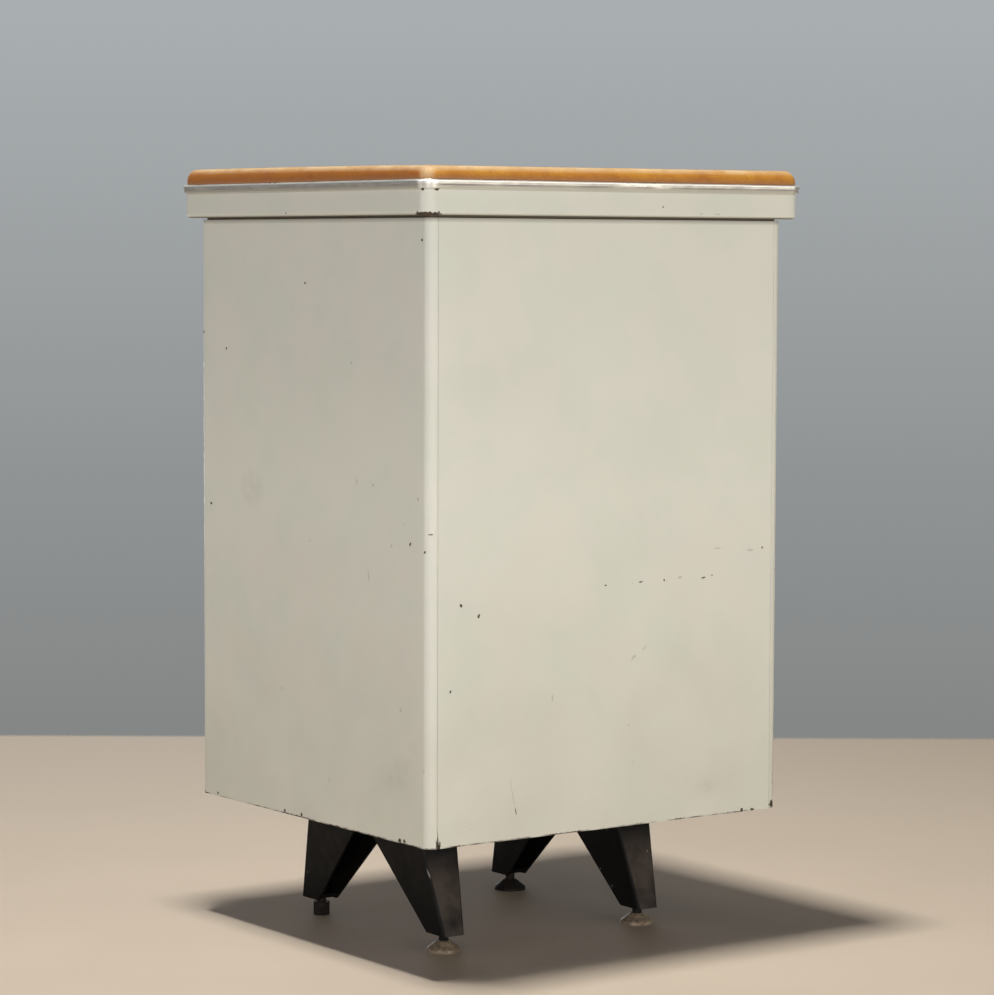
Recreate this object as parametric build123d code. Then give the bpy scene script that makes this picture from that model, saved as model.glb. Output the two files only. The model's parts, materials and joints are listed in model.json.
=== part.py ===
from build123d import *
import os

# Steel storage cabinet with one drawer over one door, on four folded legs with screw feet.
# Millimetres, +Z up. The front faces -Y, and the origin is on the floor under the middle of the lid.

# Case
body_width = 437.5        # across the side panels
body_depth = 422.5        # from the door's face to the back panel
body_bottom = 128.0       # underside of the case above the floor
body_height = 604.0
sheet = 1.2               # sheet steel of the case, door and drawer
corner_radius = 9.5       # outside bend at the four upright corners
fold_radius = 2.5         # outside bend of the small folds
edge_flange = 16.0        # flange along the top and bottom of a side panel
stile_width = 20.0        # front edge of a side panel, beside the door
rear_return = 10.5        # how far a side panel wraps round on to the back
joggle_width = 16.0       # flange of a side panel behind the back panel
seam_gap = 0.3            # open seam between back panel and side panel
seam_wedge_width = 2.6    # lower corner of the back panel that has lifted from the seam
seam_wedge_height = 19.0
weld_gap = 0.2            # play between sheet pieces that are joined elsewhere

# Front
front_depth = 18.0        # thickness of door and drawer front
front_gap = 2.0           # open joint round door and drawer front
rail_height = 18.0        # middle and bottom rail
top_rail_height = 16.0
middle_rail_depth = 30.0
drawer_opening = 130.0    # clear height between top rail and middle rail
front_radius = 3.0        # rounded edges of door and drawer front

# Lid
shadow_gap = 2.0          # top pan between case and lid, seen as a dark line
lid_overhang = 13.0
apron_height = 26.0
apron_radius = 12.0
apron_fold = 4.0          # outside bend along the apron's lower edge
apron_flange = 30.0       # apron's lower flange, under the lid board
trim_height = 8.0
trim_proud = 3.7          # moulding beyond the apron
trim_groove = 1.3         # depth of the groove in the moulding
trim_foot = 2.4           # height of the moulding's lower bead
trim_groove_height = 1.3
trim_lip_radius = 1.2
board_gap = 0.3           # lid board inside the apron
cover_thickness = 14.0
cover_inset = 1.8         # cover inside the moulding's outer edge
cover_radius = 4.5        # rounded upper edge of the cover
cover_slope = 6.0         # degrees that the cover's sides lean in
top_pan_inset = 5.0
screw_radius = 2.0
screw_head_radius = 4.0
screw_head_height = 2.0
lid_screw_length = 20.0
lid_screw_inset = 60.0    # from the top pan's edges

# Legs
foot_reach = 18.0         # floor to the lower end of a leg
leg_sheet = 2.5
leg_inset = 95.5          # middle of a pair of legs from the case's side
leg_from_front = 66.0     # lower end of a front leg's web from the case's front
leg_from_back = 90.5      # lower end of a back leg's web from the case's back
leg_foot_width = 25.5     # web at its lower end
leg_foot_depth = 32.0     # flanges at their lower end
leg_head_width = 48.9     # web at its upper end
leg_lean_in = 32.5        # upper end of a web nearer the middle than its lower end
leg_fold_radius = 4.0
arch_height = 123.0       # where the flanges of a pair meet
leg_plate_thickness = 3.0
leg_plate_width = 62.0
leg_plate_margin = 21.0   # plate beyond the webs' upper ends
leg_bolt_spacing = 36.0
leg_bolt_radius = 3.0
leg_bolt_head = 4.0
leg_bolt_flats = 10.0
leg_nut_height = 5.0
foot_plate_thickness = 5.0
foot_plate_lift = 2.0     # foot plate above the leg's lower end
foot_setback = 20.0       # screw axis behind the web at its lower end
foot_screw_radius = 5.0
foot_screw_length = 44.0
foot_play = 0.05          # running clearance on the radius
glide_radius = 17.0
glide_rim = 3.0
glide_height = 11.0
glide_neck_radius = 7.0
bare_head_radius = 8.5    # screw head that stands without its glide
bare_head_height = 14.0
bare_foot = "front_right" # the foot that has lost its glide

# Door, its pins, stops and lock
pin_radius = 3.0
pin_play = 0.05
pin_from_edge = 10.0      # door edge to the pin's axis
pin_from_face = 7.2       # door face to the pin's axis
pin_reach = 7.0           # pin beyond the rail
pin_head_radius = 4.5
pin_head_height = 2.0
washer_radius = 4.7
washer_play = 0.15
stop_width = 20.0
stop_height = 12.0
stop_sheet = 1.5
stop_foot = 9.0
stop_from_edge = 36.0     # from the free side of the opening
bumper_radius = 4.5
bumper_thickness = 1.5
bumper_gap = 0.3          # bumper to the closed door
lock_from_edge = 24.0     # lock axis from the door's free edge
lock_drop = 190.0         # lock axis below the top of the door opening
lock_case_radius = 9.5
lock_flange_radius = 12.0
lock_flange = 2.0
lock_nut_flats = 24.0
lock_nut_height = 4.0
barrel_radius = 7.0
barrel_play = 0.05
barrel_proud = 0.8        # barrel beyond the lock case's flange
keyway_width = 1.6
keyway_height = 8.0
keyway_depth = 6.0
cam_width = 14.0
cam_thickness = 2.0
cam_past_stile = 9.0      # cam beyond the edge of the opening when locked
cam_gap = 0.4             # cam to the end of the lock case
cam_screw_radius = 4.0
cam_screw_height = 1.4

# Drawer and runners
tray_gap = 15.5           # tray side to the side of the opening
tray_lift = 6.0           # tray above the middle rail
tray_height = 92.0
tray_from_back = 40.8     # clear space behind the closed tray
tray_hem = 3.0
runner_height = 12.4
runner_drop = 76.0        # runner's centre line below the top of the drawer opening
runner_start = 5.0        # runner behind the case's front
runner_from_back = 11.8   # runner's end to the back panel
runner_flange = 12.0
runner_play = 0.3
rail_clear = 1.0          # drawer rail inside the opening
rail_inset = 4.0          # drawer rail in from each end of the tray
bracket_length = 20.0
bracket_inset = 60.0      # runner end to its bracket
bracket_height = 16.0

# Shelf
strip_width = 16.0
strip_depth = 6.0
strip_inset = 55.0        # strip's centre line from front opening and from back
strip_margin = 10.0       # strip above the floor pan and below the middle rail
slot_pitch = 25.0
slot_width = 11.0
slot_height = 4.0
shelf_slot_number = 6     # slot that the clips hang in
clip_width = 10.0
clip_thickness = 3.0
clip_reach = 13.0         # clip's tongue in front of the strip
clip_hook = 3.0           # tongue inside the strip
clip_back = 10.0
shelf_flange = 18.0
shelf_gap = 0.5
shelf_setback = 12.0      # shelf behind the door
pan_flange = 18.0         # underside of the floor to the top of its edge strips, below the door

# Pulls
pull_length = 110.0
pull_reach = 12.5         # front of the pull from the door's face
pull_sheet = 2.0
pull_tail = 8.0           # flange beside the grip
pull_rise = 10.0          # flange behind the grip
pull_lip = 14.0
pull_fold = 3.0
pull_rivet_radius = 2.5
pull_rivet_head = 1.0
pull_rivet_head_radius = 4.0
rivet_spacing = 80.0
door_pull_drop = 110.0    # centre of the door's pull below the door's top edge
door_pull_from_edge = 20.0

# Places worked out from the sizes above
half_width = body_width / 2
half_depth = body_depth / 2
front = -half_depth
back = half_depth
body_top = body_bottom + body_height
inner_side = half_width - sheet
inner_back = back - sheet
opening_side = half_width - stile_width
rear_of_front = front + front_depth
seam = half_width - rear_return
pan_top = body_bottom + 2 * sheet
door_opening_bottom = body_bottom + rail_height
drawer_opening_top = body_top - top_rail_height
middle_rail_top = drawer_opening_top - drawer_opening
door_opening_top = middle_rail_top - rail_height
lid_bottom = body_top + shadow_gap
apron_top = lid_bottom + apron_height
lid_board_top = apron_top + trim_height
lid_half_width = half_width + lid_overhang
lid_half_depth = half_depth + lid_overhang
board_inset = sheet + board_gap
plate_bottom = body_bottom + sheet - leg_plate_thickness
leg_height = plate_bottom - foot_reach
leg_x = half_width - leg_inset
stance_depth = body_depth - leg_from_front - leg_from_back
stance_centre = (leg_from_front - leg_from_back) / 2
foot_y = stance_depth / 2 - foot_setback
door_half_width = opening_side - front_gap
hinge_x = -door_half_width + pin_from_edge
hinge_y = front + pin_from_face
lock_x = door_half_width - lock_from_edge
lock_z = door_opening_top - lock_drop
tray_side = opening_side - tray_gap
tray_back = inner_back - tray_from_back
tray_bottom = middle_rail_top + tray_lift
tray_top = tray_bottom + tray_height
runner_z = drawer_opening_top - runner_drop
runner_web = opening_side + sheet
runner_front = front + runner_start
runner_back = inner_back - runner_from_back
strip_face = inner_side - strip_depth
strip_bottom = pan_top + pan_flange + strip_margin
strip_top = door_opening_top - strip_margin
first_slot = strip_bottom + slot_pitch / 2
slot_count = int((strip_top - strip_bottom) / slot_pitch)
shelf_bottom = first_slot + shelf_slot_number * slot_pitch + clip_thickness / 2


def block(x0, x1, y0, y1, z0, z1):
    """A box between two corners."""
    middle = Pos((x0 + x1) / 2, (y0 + y1) / 2, (z0 + z1) / 2)
    return middle * Box(x1 - x0, y1 - y0, z1 - z0)


def rod(radius, z0, z1):
    """An upright cylinder on the Z axis."""
    return Pos(0, 0, (z0 + z1) / 2) * Cylinder(radius, z1 - z0)


def lying(radius, y0, y1):
    """A cylinder along the Y axis."""
    return Pos(0, (y0 + y1) / 2, 0) * Rot(90, 0, 0) * Cylinder(radius, y1 - y0)


def hexagon(flats, z0, z1):
    """An upright hexagonal prism, measured across its flats."""
    return Pos(0, 0, z0) * extrude(RegularPolygon(flats / 2, 6, major_radius=False), amount=z1 - z0)


def folded(outline, radii, thickness, length):
    """Sheet bent along an outline in XY, with the metal on the left of its run, drawn up along Z."""
    path = FilletPolyline(*outline, radius=radii)
    return extrude(make_face(offset(path, amount=thickness, side=Side.LEFT)), amount=length)


def slab(half_x, half_y, radius, z0, z1):
    """A plate centred on the Z axis with rounded upright corners."""
    return Pos(0, 0, z0) * extrude(RectangleRounded(2 * half_x, 2 * half_y, radius), amount=z1 - z0)


def both_sides(shape):
    """A shape and its mirror image across the middle of the cabinet."""
    return [shape, mirror(shape, about=Plane.YZ)]


def group(shapes):
    """Separate solids that share one node."""
    return Compound(children=[solid for shape in shapes for solid in shape.solids()])


def side_panel():
    """Right-hand side: lip and stile at the front, wall, rear corner and the flange behind the back."""
    outline = [
        (opening_side, rear_of_front),
        (opening_side, front),
        (half_width, front),
        (half_width, back),
        (seam, back),
    ]
    wall = folded(outline, [fold_radius, corner_radius, corner_radius], sheet, body_height)
    flat_return = rear_return - corner_radius
    joggle = block(
        seam - joggle_width, seam + flat_return,
        inner_back - sheet, inner_back,
        body_bottom, body_top,
    )
    panel = Pos(0, 0, body_bottom) * wall + joggle
    for z in (body_bottom, body_top - sheet):
        panel += block(
            half_width - edge_flange, inner_side + sheet / 2,
            front + corner_radius, back - corner_radius,
            z, z + sheet,
        )
    return panel


def back_panel():
    """Flat sheet between the side panels, with one lower corner lifted from the seam."""
    edge = seam - seam_gap
    sheet_metal = block(-edge, edge, inner_back, back, body_bottom, body_top)
    wedge = Polyline(
        (edge - seam_wedge_width, body_bottom),
        (edge, body_bottom + seam_wedge_height),
        (edge + seam_wedge_width, body_bottom),
        close=True,
    )
    cut = Plane(origin=(0, back + sheet, 0), x_dir=(1, 0, 0), z_dir=(0, -1, 0)) * make_face(wedge)
    return sheet_metal - extrude(cut, amount=3 * sheet)


def rear_corners(shape):
    """The two upright edges of a box that lie furthest back."""
    return shape.edges().filter_by(Axis.Z).sort_by(Axis.Y)[-2:]


def base_pan():
    """Floor of the case: a sheet bolted to the leg plates."""
    half = inner_side - weld_gap
    rear = inner_back - sheet - weld_gap
    bend = corner_radius - sheet - weld_gap
    pan = fillet(rear_corners(block(-half, half, rear_of_front, rear, body_bottom + sheet, pan_top)), bend)
    for x, y in leg_bolt_places():
        pan -= Pos(x, y, 0) * rod(leg_bolt_radius, body_bottom, pan_top + sheet)
    return pan


def base_pan_edges():
    """Upright strips along the four edges of the floor, clear of its rounded rear corners."""
    half = inner_side - weld_gap
    rear = inner_back - sheet - weld_gap
    bend = corner_radius - sheet - weld_gap
    top = body_bottom + sheet + pan_flange
    return group([
        block(-half, half, rear_of_front, rear_of_front + sheet, pan_top, top),
        block(bend - half, half - bend, rear - sheet, rear, pan_top, top),
        block(-half, sheet - half, rear_of_front + sheet, rear - bend, pan_top, top),
        block(half - sheet, half, rear_of_front + sheet, rear - bend, pan_top, top),
    ])


def top_pan():
    """Plate that closes the case and carries the lid."""
    half_x = half_width - top_pan_inset
    half_y = half_depth - top_pan_inset
    pan = slab(half_x, half_y, fold_radius, body_top, lid_bottom)
    for x, y in lid_screw_places():
        pan -= Pos(x, y, 0) * rod(screw_radius, body_top - sheet, lid_bottom + sheet)
    return pan


def channel_rail(low, height, depth):
    """Channel between the stiles with its web at the front and its flanges running back."""
    outline = [(front + depth, low + height), (front, low + height), (front, low), (front + depth, low)]
    rail = folded(outline, [fold_radius, fold_radius], sheet, 2 * opening_side)
    return Plane(origin=(-opening_side, 0, 0), x_dir=(0, 1, 0), z_dir=(1, 0, 0)) * rail


def middle_rail():
    """Rail between drawer and door, drilled for the upper door pin."""
    rail = channel_rail(door_opening_top, rail_height, middle_rail_depth)
    low = door_opening_top
    return rail - Pos(hinge_x, hinge_y, 0) * rod(pin_radius, low - sheet, low + 2 * sheet)


def bottom_rail():
    """Sill under the door, drilled for the lower door pin."""
    rail = channel_rail(body_bottom, rail_height, front_depth)
    top = door_opening_bottom
    return rail - Pos(hinge_x, hinge_y, 0) * rod(pin_radius, top - 2 * sheet, top + sheet)


def lid_screw_places():
    """Four screws from the top pan up into the lid board."""
    x = half_width - top_pan_inset - lid_screw_inset
    y = half_depth - top_pan_inset - lid_screw_inset
    return [(sx * x, sy * y) for sx in (-1, 1) for sy in (-1, 1)]


def lid_apron():
    """Lid skirt with its lower edge folded in under the board."""
    outer = slab(lid_half_width, lid_half_depth, apron_radius, lid_bottom, apron_top)
    outer = fillet(outer.faces().sort_by(Axis.Z)[0].edges(), apron_fold)
    inner = slab(
        lid_half_width - sheet, lid_half_depth - sheet, apron_radius - sheet,
        lid_bottom + sheet, apron_top + sheet,
    )
    inner = fillet(inner.faces().sort_by(Axis.Z)[0].edges(), apron_fold - sheet)
    hole = slab(
        lid_half_width - apron_flange, lid_half_depth - apron_flange, fold_radius,
        lid_bottom - sheet, lid_bottom + 2 * sheet,
    )
    return outer - inner - hole


def lid_board():
    """Blockboard core that fills the lid, with its lower edge eased over the apron's fold."""
    board = slab(
        lid_half_width - board_inset, lid_half_depth - board_inset, apron_radius - board_inset,
        lid_bottom + sheet, lid_board_top,
    )
    board = chamfer(board.faces().sort_by(Axis.Z)[0].edges(), apron_fold - sheet)
    for x, y in lid_screw_places():
        board -= Pos(x, y, 0) * rod(screw_radius, lid_bottom, body_top + lid_screw_length)
    return board


def trim_band(inset, z0, z1):
    """One band of the edge moulding, set in from its outermost line."""
    half_x = lid_half_width + trim_proud - inset
    half_y = lid_half_depth + trim_proud - inset
    return slab(half_x, half_y, apron_radius + trim_proud - inset, z0, z1)


def lid_trim():
    """Aluminium edge moulding: lower bead, groove and rounded upper lip."""
    groove_low = apron_top + trim_foot
    groove_high = groove_low + trim_groove_height
    bead = trim_band(trim_groove / 2, apron_top, groove_low)
    waist = trim_band(trim_groove, groove_low, groove_high)
    lip = trim_band(0, groove_high, lid_board_top)
    lip = fillet(lip.faces().sort_by(Axis.Z)[-1].edges(), trim_lip_radius)
    hole = slab(
        lid_half_width - board_inset, lid_half_depth - board_inset, apron_radius - board_inset,
        apron_top - sheet, lid_board_top + sheet,
    )
    return bead + waist + lip - hole


def lid_cover():
    """Covered top: its sides lean in a little and its upper edge is rounded."""
    half_x = lid_half_width + trim_proud - cover_inset
    half_y = lid_half_depth + trim_proud - cover_inset
    outline = RectangleRounded(2 * half_x, 2 * half_y, apron_radius + trim_proud - cover_inset)
    pad = extrude(outline, amount=cover_thickness, taper=cover_slope)
    pad = fillet(pad.faces().sort_by(Axis.Z)[-1].edges(), cover_radius)
    return Pos(0, 0, lid_board_top) * pad


def lid_screws():
    """Round-head screws from the top pan up into the lid board."""
    screw = rod(screw_radius, body_top, body_top + lid_screw_length)
    screw += rod(screw_head_radius, body_top - screw_head_height, body_top)
    return group([Pos(x, y, 0) * screw for x, y in lid_screw_places()])


def leg_web(z, inward):
    """Distance of a leg's web from the middle of its pair, at a height."""
    return stance_depth / 2 - inward - leg_lean_in * (z - foot_reach) / leg_height


def leg_prism(side_view, inward):
    """Side view of a back leg cut to the leg's tapering width; +Y is outwards from the pair's middle."""
    foot = leg_foot_width / 2 - inward
    head = leg_head_width / 2 - inward
    front_view = Polyline(
        (-foot, foot_reach), (foot, foot_reach), (head, plate_bottom), (-head, plate_bottom), close=True
    )
    profile = Plane(origin=(-leg_x, 0, 0), x_dir=(0, 1, 0), z_dir=(1, 0, 0))
    taper = Plane(origin=(0, stance_depth, 0), x_dir=(1, 0, 0), z_dir=(0, -1, 0))
    side = extrude(profile * make_face(Polyline(*side_view, close=True)), amount=2 * leg_x)
    return side & extrude(taper * make_face(front_view), amount=2 * stance_depth)


def leg_outside():
    """Outer form of a back leg, cut off at the middle of its pair."""
    side_view = [
        (leg_web(foot_reach, 0), foot_reach),
        (leg_web(plate_bottom, 0), plate_bottom),
        (0, plate_bottom),
        (0, arch_height),
        (stance_depth / 2 - leg_foot_depth, foot_reach),
    ]
    return leg_prism(side_view, 0)


def leg_hollow():
    """Space between a back leg's flanges, open towards the middle of its pair."""
    side_view = [
        (leg_web(foot_reach, leg_sheet), foot_reach),
        (leg_web(plate_bottom, leg_sheet), plate_bottom),
        (-leg_sheet, plate_bottom),
        (-leg_sheet, foot_reach),
    ]
    return leg_prism(side_view, leg_sheet)


def fold_edges(shape, inward):
    """The two sloping edges between a leg's web and its flanges."""
    def on_web(vertex):
        return abs(vertex.Y - leg_web(vertex.Z, inward)) < leg_sheet / 100

    edges = [edge for edge in shape.edges() if all(on_web(vertex) for vertex in edge.vertices())]
    return [edge for edge in edges if edge.length > leg_height / 2]


def leg():
    """A back leg: folded channel that tapers to its foot."""
    outside = leg_outside()
    hollow = leg_hollow()
    outside = fillet(fold_edges(outside, 0), leg_fold_radius)
    return outside - fillet(fold_edges(hollow, leg_sheet), leg_fold_radius - leg_sheet)


def foot_plate():
    """Thick plate welded between a leg's flanges, threaded for the foot screw."""
    low = foot_reach + foot_plate_lift
    between = block(-leg_x, leg_x, 0, stance_depth, low, low + foot_plate_thickness)
    hollow = fillet(fold_edges(leg_hollow(), leg_sheet), leg_fold_radius - leg_sheet)
    plate = hollow & leg_outside() & between
    return plate - Pos(0, foot_y, 0) * rod(foot_screw_radius, 0, leg_height)


def at_legs(shape):
    """A back leg's piece at all four legs, by the leg's name."""
    places = {}
    for side, x in (("left", -leg_x), ("right", leg_x)):
        places[f"back_{side}"] = Pos(x, stance_centre, 0) * shape
        places[f"front_{side}"] = Pos(x, stance_centre, 0) * mirror(shape, about=Plane.XZ)
    return places


def leg_plate_end():
    """Half the length of a leg plate: over the upper ends of a pair's webs, with room for the bolts."""
    return leg_web(plate_bottom, 0) + leg_plate_margin


def leg_bolt_places():
    """Two bolts beyond each web, through the leg plates and the floor pan."""
    y = leg_web(plate_bottom, 0) + leg_plate_margin / 2
    places = []
    for x in (-leg_x, leg_x):
        for bolt_x in (x - leg_bolt_spacing / 2, x + leg_bolt_spacing / 2):
            places += [(bolt_x, stance_centre + y), (bolt_x, stance_centre - y)]
    return places


def leg_plate(x):
    """Plate that a pair of legs is welded to."""
    end = leg_plate_end()
    top = plate_bottom + leg_plate_thickness
    plate = block(
        x - leg_plate_width / 2, x + leg_plate_width / 2,
        stance_centre - end, stance_centre + end,
        plate_bottom, top,
    )
    for bolt_x, bolt_y in leg_bolt_places():
        plate -= Pos(bolt_x, bolt_y, 0) * rod(leg_bolt_radius, plate_bottom - sheet, top + sheet)
    return plate


def leg_bolts():
    """Hexagon bolts, heads under the leg plates."""
    bolt = rod(leg_bolt_radius, plate_bottom, pan_top + leg_nut_height)
    bolt += hexagon(leg_bolt_flats, plate_bottom - leg_bolt_head, plate_bottom)
    return group([Pos(x, y, 0) * bolt for x, y in leg_bolt_places()])


def leg_nuts():
    """Nuts on the floor pan."""
    nut = hexagon(leg_bolt_flats, pan_top, pan_top + leg_nut_height)
    nut -= rod(leg_bolt_radius, body_bottom, pan_top + 2 * leg_nut_height)
    return group([Pos(x, y, 0) * nut for x, y in leg_bolt_places()])


def foot_screw(seat):
    """Foot screw from the top of its glide's rim up through the foot plate."""
    return Pos(0, foot_y, 0) * rod(foot_screw_radius - foot_play, seat, foot_screw_length)


def bare_foot_screw():
    """Foot screw that stands on its own round head."""
    return foot_screw(bare_head_height) + Pos(0, foot_y, 0) * rod(bare_head_radius, 0, bare_head_height)


def glide():
    """Bell-shaped disc pressed on the end of a foot screw."""
    bell = Polyline(
        (0, 0), (glide_radius, 0), (glide_radius, glide_rim),
        (glide_neck_radius, glide_height), (0, glide_height),
        close=True,
    )
    disc = revolve(Plane.XZ * make_face(bell), Axis.Z)
    disc = fillet(disc.edges().filter_by(GeomType.CIRCLE).group_by(Axis.Z)[1], glide_rim / 3)
    return Pos(0, foot_y, 0) * (disc - rod(foot_screw_radius - foot_play, glide_rim, 2 * glide_height))


def front_pan(low, high):
    """Outer pan of a door or drawer front, open at the back."""
    half = opening_side - front_gap
    shell = block(-half, half, front, rear_of_front, low, high)
    shell = fillet(shell.faces().sort_by(Axis.Y)[0].edges(), front_radius)
    core = block(-half + sheet, half - sheet, front + sheet, rear_of_front + sheet, low + sheet, high - sheet)
    core = fillet(core.faces().sort_by(Axis.Y)[0].edges(), front_radius - sheet)
    return shell - core


def front_liner(low, high):
    """Flat sheet that closes a front pan at the back."""
    half = opening_side - front_gap - sheet - weld_gap
    edge = sheet + weld_gap
    return block(-half, half, rear_of_front - sheet, rear_of_front, low + edge, high - edge)


def pull():
    """Grip folded from thick aluminium: tail and rise on the front, lip that fingers reach behind."""
    outline = [(pull_reach, pull_rise - pull_lip), (pull_reach, pull_rise), (0, pull_rise), (0, -pull_tail)]
    grip = Pos(0, 0, -pull_length / 2) * folded(outline, [pull_fold, pull_fold], pull_sheet, pull_length)
    for z in (-rivet_spacing / 2, rivet_spacing / 2):
        grip -= Pos(0, 0, z) * Rot(0, 90, 0) * Cylinder(pull_rivet_radius, 3 * pull_sheet)
    return grip


def pull_rivets():
    """Flush-headed rivets through a pull's tail and the front's skin."""
    shank = Rot(0, 90, 0) * Cylinder(pull_rivet_radius, pull_sheet + sheet)
    head = Rot(0, 90, 0) * Cylinder(pull_rivet_head_radius, pull_rivet_head)
    rivet = Pos((pull_sheet - sheet) / 2, 0, 0) * shank + Pos(pull_sheet + pull_rivet_head / 2, 0, 0) * head
    return group([Pos(0, 0, z) * rivet for z in (-rivet_spacing / 2, rivet_spacing / 2)])


def door_pull_place():
    """Upright beside the door's free edge, open towards the hinge."""
    z = door_opening_top - front_gap - door_pull_drop
    return Plane(origin=(door_half_width - door_pull_from_edge, front, z), x_dir=(0, -1, 0), z_dir=(0, 0, 1))


def drawer_pull_place():
    """Level in the middle of the drawer front, open below."""
    z = (middle_rail_top + drawer_opening_top) / 2
    return Plane(origin=(0, front, z), x_dir=(0, -1, 0), z_dir=(-1, 0, 0))


def rivet_holes():
    """Bores through a skin for the pull's rivets."""
    bore = Rot(0, 90, 0) * Cylinder(pull_rivet_radius, 4 * sheet)
    return group([Pos(0, 0, z) * bore for z in (-rivet_spacing / 2, rivet_spacing / 2)])


def at_lock(shape):
    """A lock piece made round the Y axis, moved to the lock's axis."""
    return Pos(lock_x, 0, lock_z) * shape


def door_skin():
    """Door's outer pan, drilled for the pins, the lock and the pull."""
    skin = front_pan(door_opening_bottom + front_gap, door_opening_top - front_gap)
    skin -= Pos(hinge_x, hinge_y, 0) * rod(pin_radius + pin_play, door_opening_bottom, door_opening_top)
    skin -= at_lock(lying(lock_case_radius, front - sheet, front + 2 * sheet))
    return skin - door_pull_place() * rivet_holes()


def door_liner():
    """Sheet that closes the door's back."""
    liner = front_liner(door_opening_bottom + front_gap, door_opening_top - front_gap)
    return liner - at_lock(lying(lock_case_radius, rear_of_front - 2 * sheet, rear_of_front + sheet))


def lock_case():
    """Flanged sleeve through the door that the barrel turns in."""
    case = lying(lock_case_radius, front, rear_of_front)
    case += lying(lock_flange_radius, front - lock_flange, front)
    case -= lying(barrel_radius + barrel_play, front - 2 * lock_flange, rear_of_front + sheet)
    return at_lock(case)


def lock_nut():
    """Nut behind the door skin that holds the lock case."""
    nut = Rot(90, 0, 0) * hexagon(lock_nut_flats, -lock_nut_height, 0)
    nut = Pos(0, front + sheet, 0) * nut
    return at_lock(nut - lying(lock_case_radius, front, rear_of_front))


def lock_barrel():
    """Key plug of the lock, with its keyway upright."""
    face = front - lock_flange - barrel_proud
    barrel = lying(barrel_radius, face, rear_of_front + cam_gap)
    barrel -= block(
        -keyway_width / 2, keyway_width / 2,
        face - sheet, face + keyway_depth,
        -keyway_height / 2, keyway_height / 2,
    )
    return at_lock(barrel - lying(cam_screw_radius / 2, rear_of_front - 4 * sheet, rear_of_front + cam_gap))


def lock_cam():
    """Cam on the barrel's end: hangs down when open, turns behind the stile to lock."""
    length = opening_side + cam_past_stile - lock_x
    near = rear_of_front + cam_gap
    far = near + cam_thickness
    cam = block(-cam_width / 2, cam_width / 2, near, far, -length, 0)
    cam += lying(cam_width / 2, near, far)
    return at_lock(cam - lying(cam_screw_radius / 2, near - sheet, far + sheet))


def cam_screw():
    """Screw that holds the cam on the barrel."""
    seat = rear_of_front + cam_gap + cam_thickness
    screw = lying(cam_screw_radius, seat, seat + cam_screw_height)
    return at_lock(screw + lying(cam_screw_radius / 2, rear_of_front - 4 * sheet, seat))


def door_pins():
    """Headed pins in the middle rail and the sill that the door turns on."""
    upper = rod(pin_radius, door_opening_top - pin_reach, door_opening_top + sheet)
    upper += rod(pin_head_radius, door_opening_top + sheet, door_opening_top + sheet + pin_head_height)
    lower = rod(pin_radius, door_opening_bottom - sheet, door_opening_bottom + pin_reach)
    lower += rod(pin_head_radius, door_opening_bottom - sheet - pin_head_height, door_opening_bottom - sheet)
    return group([Pos(hinge_x, hinge_y, 0) * pin for pin in (upper, lower)])


def door_washer():
    """Washer under the door on its lower pin."""
    washer = rod(washer_radius, door_opening_bottom, door_opening_bottom + front_gap - washer_play)
    washer -= rod(pin_radius, body_bottom, door_opening_bottom + 2 * front_gap)
    return Pos(hinge_x, hinge_y, 0) * washer


def stop_face():
    """Plane of the door stops that the bumpers sit on."""
    return rear_of_front + bumper_gap + bumper_thickness


def door_stops():
    """Angles under the middle rail and on the floor pan that the closed door comes up to."""
    x0 = opening_side - stop_from_edge - stop_width / 2
    x1 = x0 + stop_width
    near = stop_face()
    far = near + stop_sheet
    upper = block(x0, x1, near, far, door_opening_top - stop_height, door_opening_top)
    upper += block(x0, x1, near, near + stop_foot, door_opening_top - stop_sheet, door_opening_top)
    lower = block(x0, x1, near, far, pan_top, door_opening_bottom + stop_height)
    lower += block(x0, x1, near, near + stop_foot, pan_top, pan_top + stop_sheet)
    return group([upper, lower])


def door_bumpers():
    """Rubber discs on the door stops."""
    disc = lying(bumper_radius, stop_face() - bumper_thickness, stop_face())
    inward = (stop_height + front_gap) / 2
    heights = (door_opening_top - inward, door_opening_bottom + inward)
    return group([Pos(opening_side - stop_from_edge, 0, z) * disc for z in heights])


def drawer_front():
    """Drawer's outer pan, drilled for the pull."""
    pan = front_pan(middle_rail_top + front_gap, drawer_opening_top - front_gap)
    return pan - drawer_pull_place() * rivet_holes()


def drawer_floor():
    """Bottom of the drawer, welded in between its four walls."""
    half = tray_side - sheet
    return block(-half, half, rear_of_front + sheet, tray_back - sheet, tray_bottom, tray_bottom + sheet)


def drawer_side():
    """Right-hand side of the drawer, its rim hemmed inwards."""
    wall = block(tray_side - sheet, tray_side, rear_of_front, tray_back, tray_bottom, tray_top)
    return wall + block(
        tray_side - tray_hem, tray_side,
        rear_of_front + sheet, tray_back - sheet,
        tray_top - tray_hem, tray_top,
    )


def drawer_end(face, inward):
    """Cross wall of the drawer between its sides, its rim hemmed inwards."""
    wall_half = tray_side - sheet
    hem_half = tray_side - tray_hem
    near, far = sorted((face, face + inward * sheet))
    wall = block(-wall_half, wall_half, near, far, tray_bottom, tray_top)
    near, far = sorted((face, face + inward * tray_hem))
    return wall + block(-hem_half, hem_half, near, far, tray_top - tray_hem, tray_top)


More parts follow.
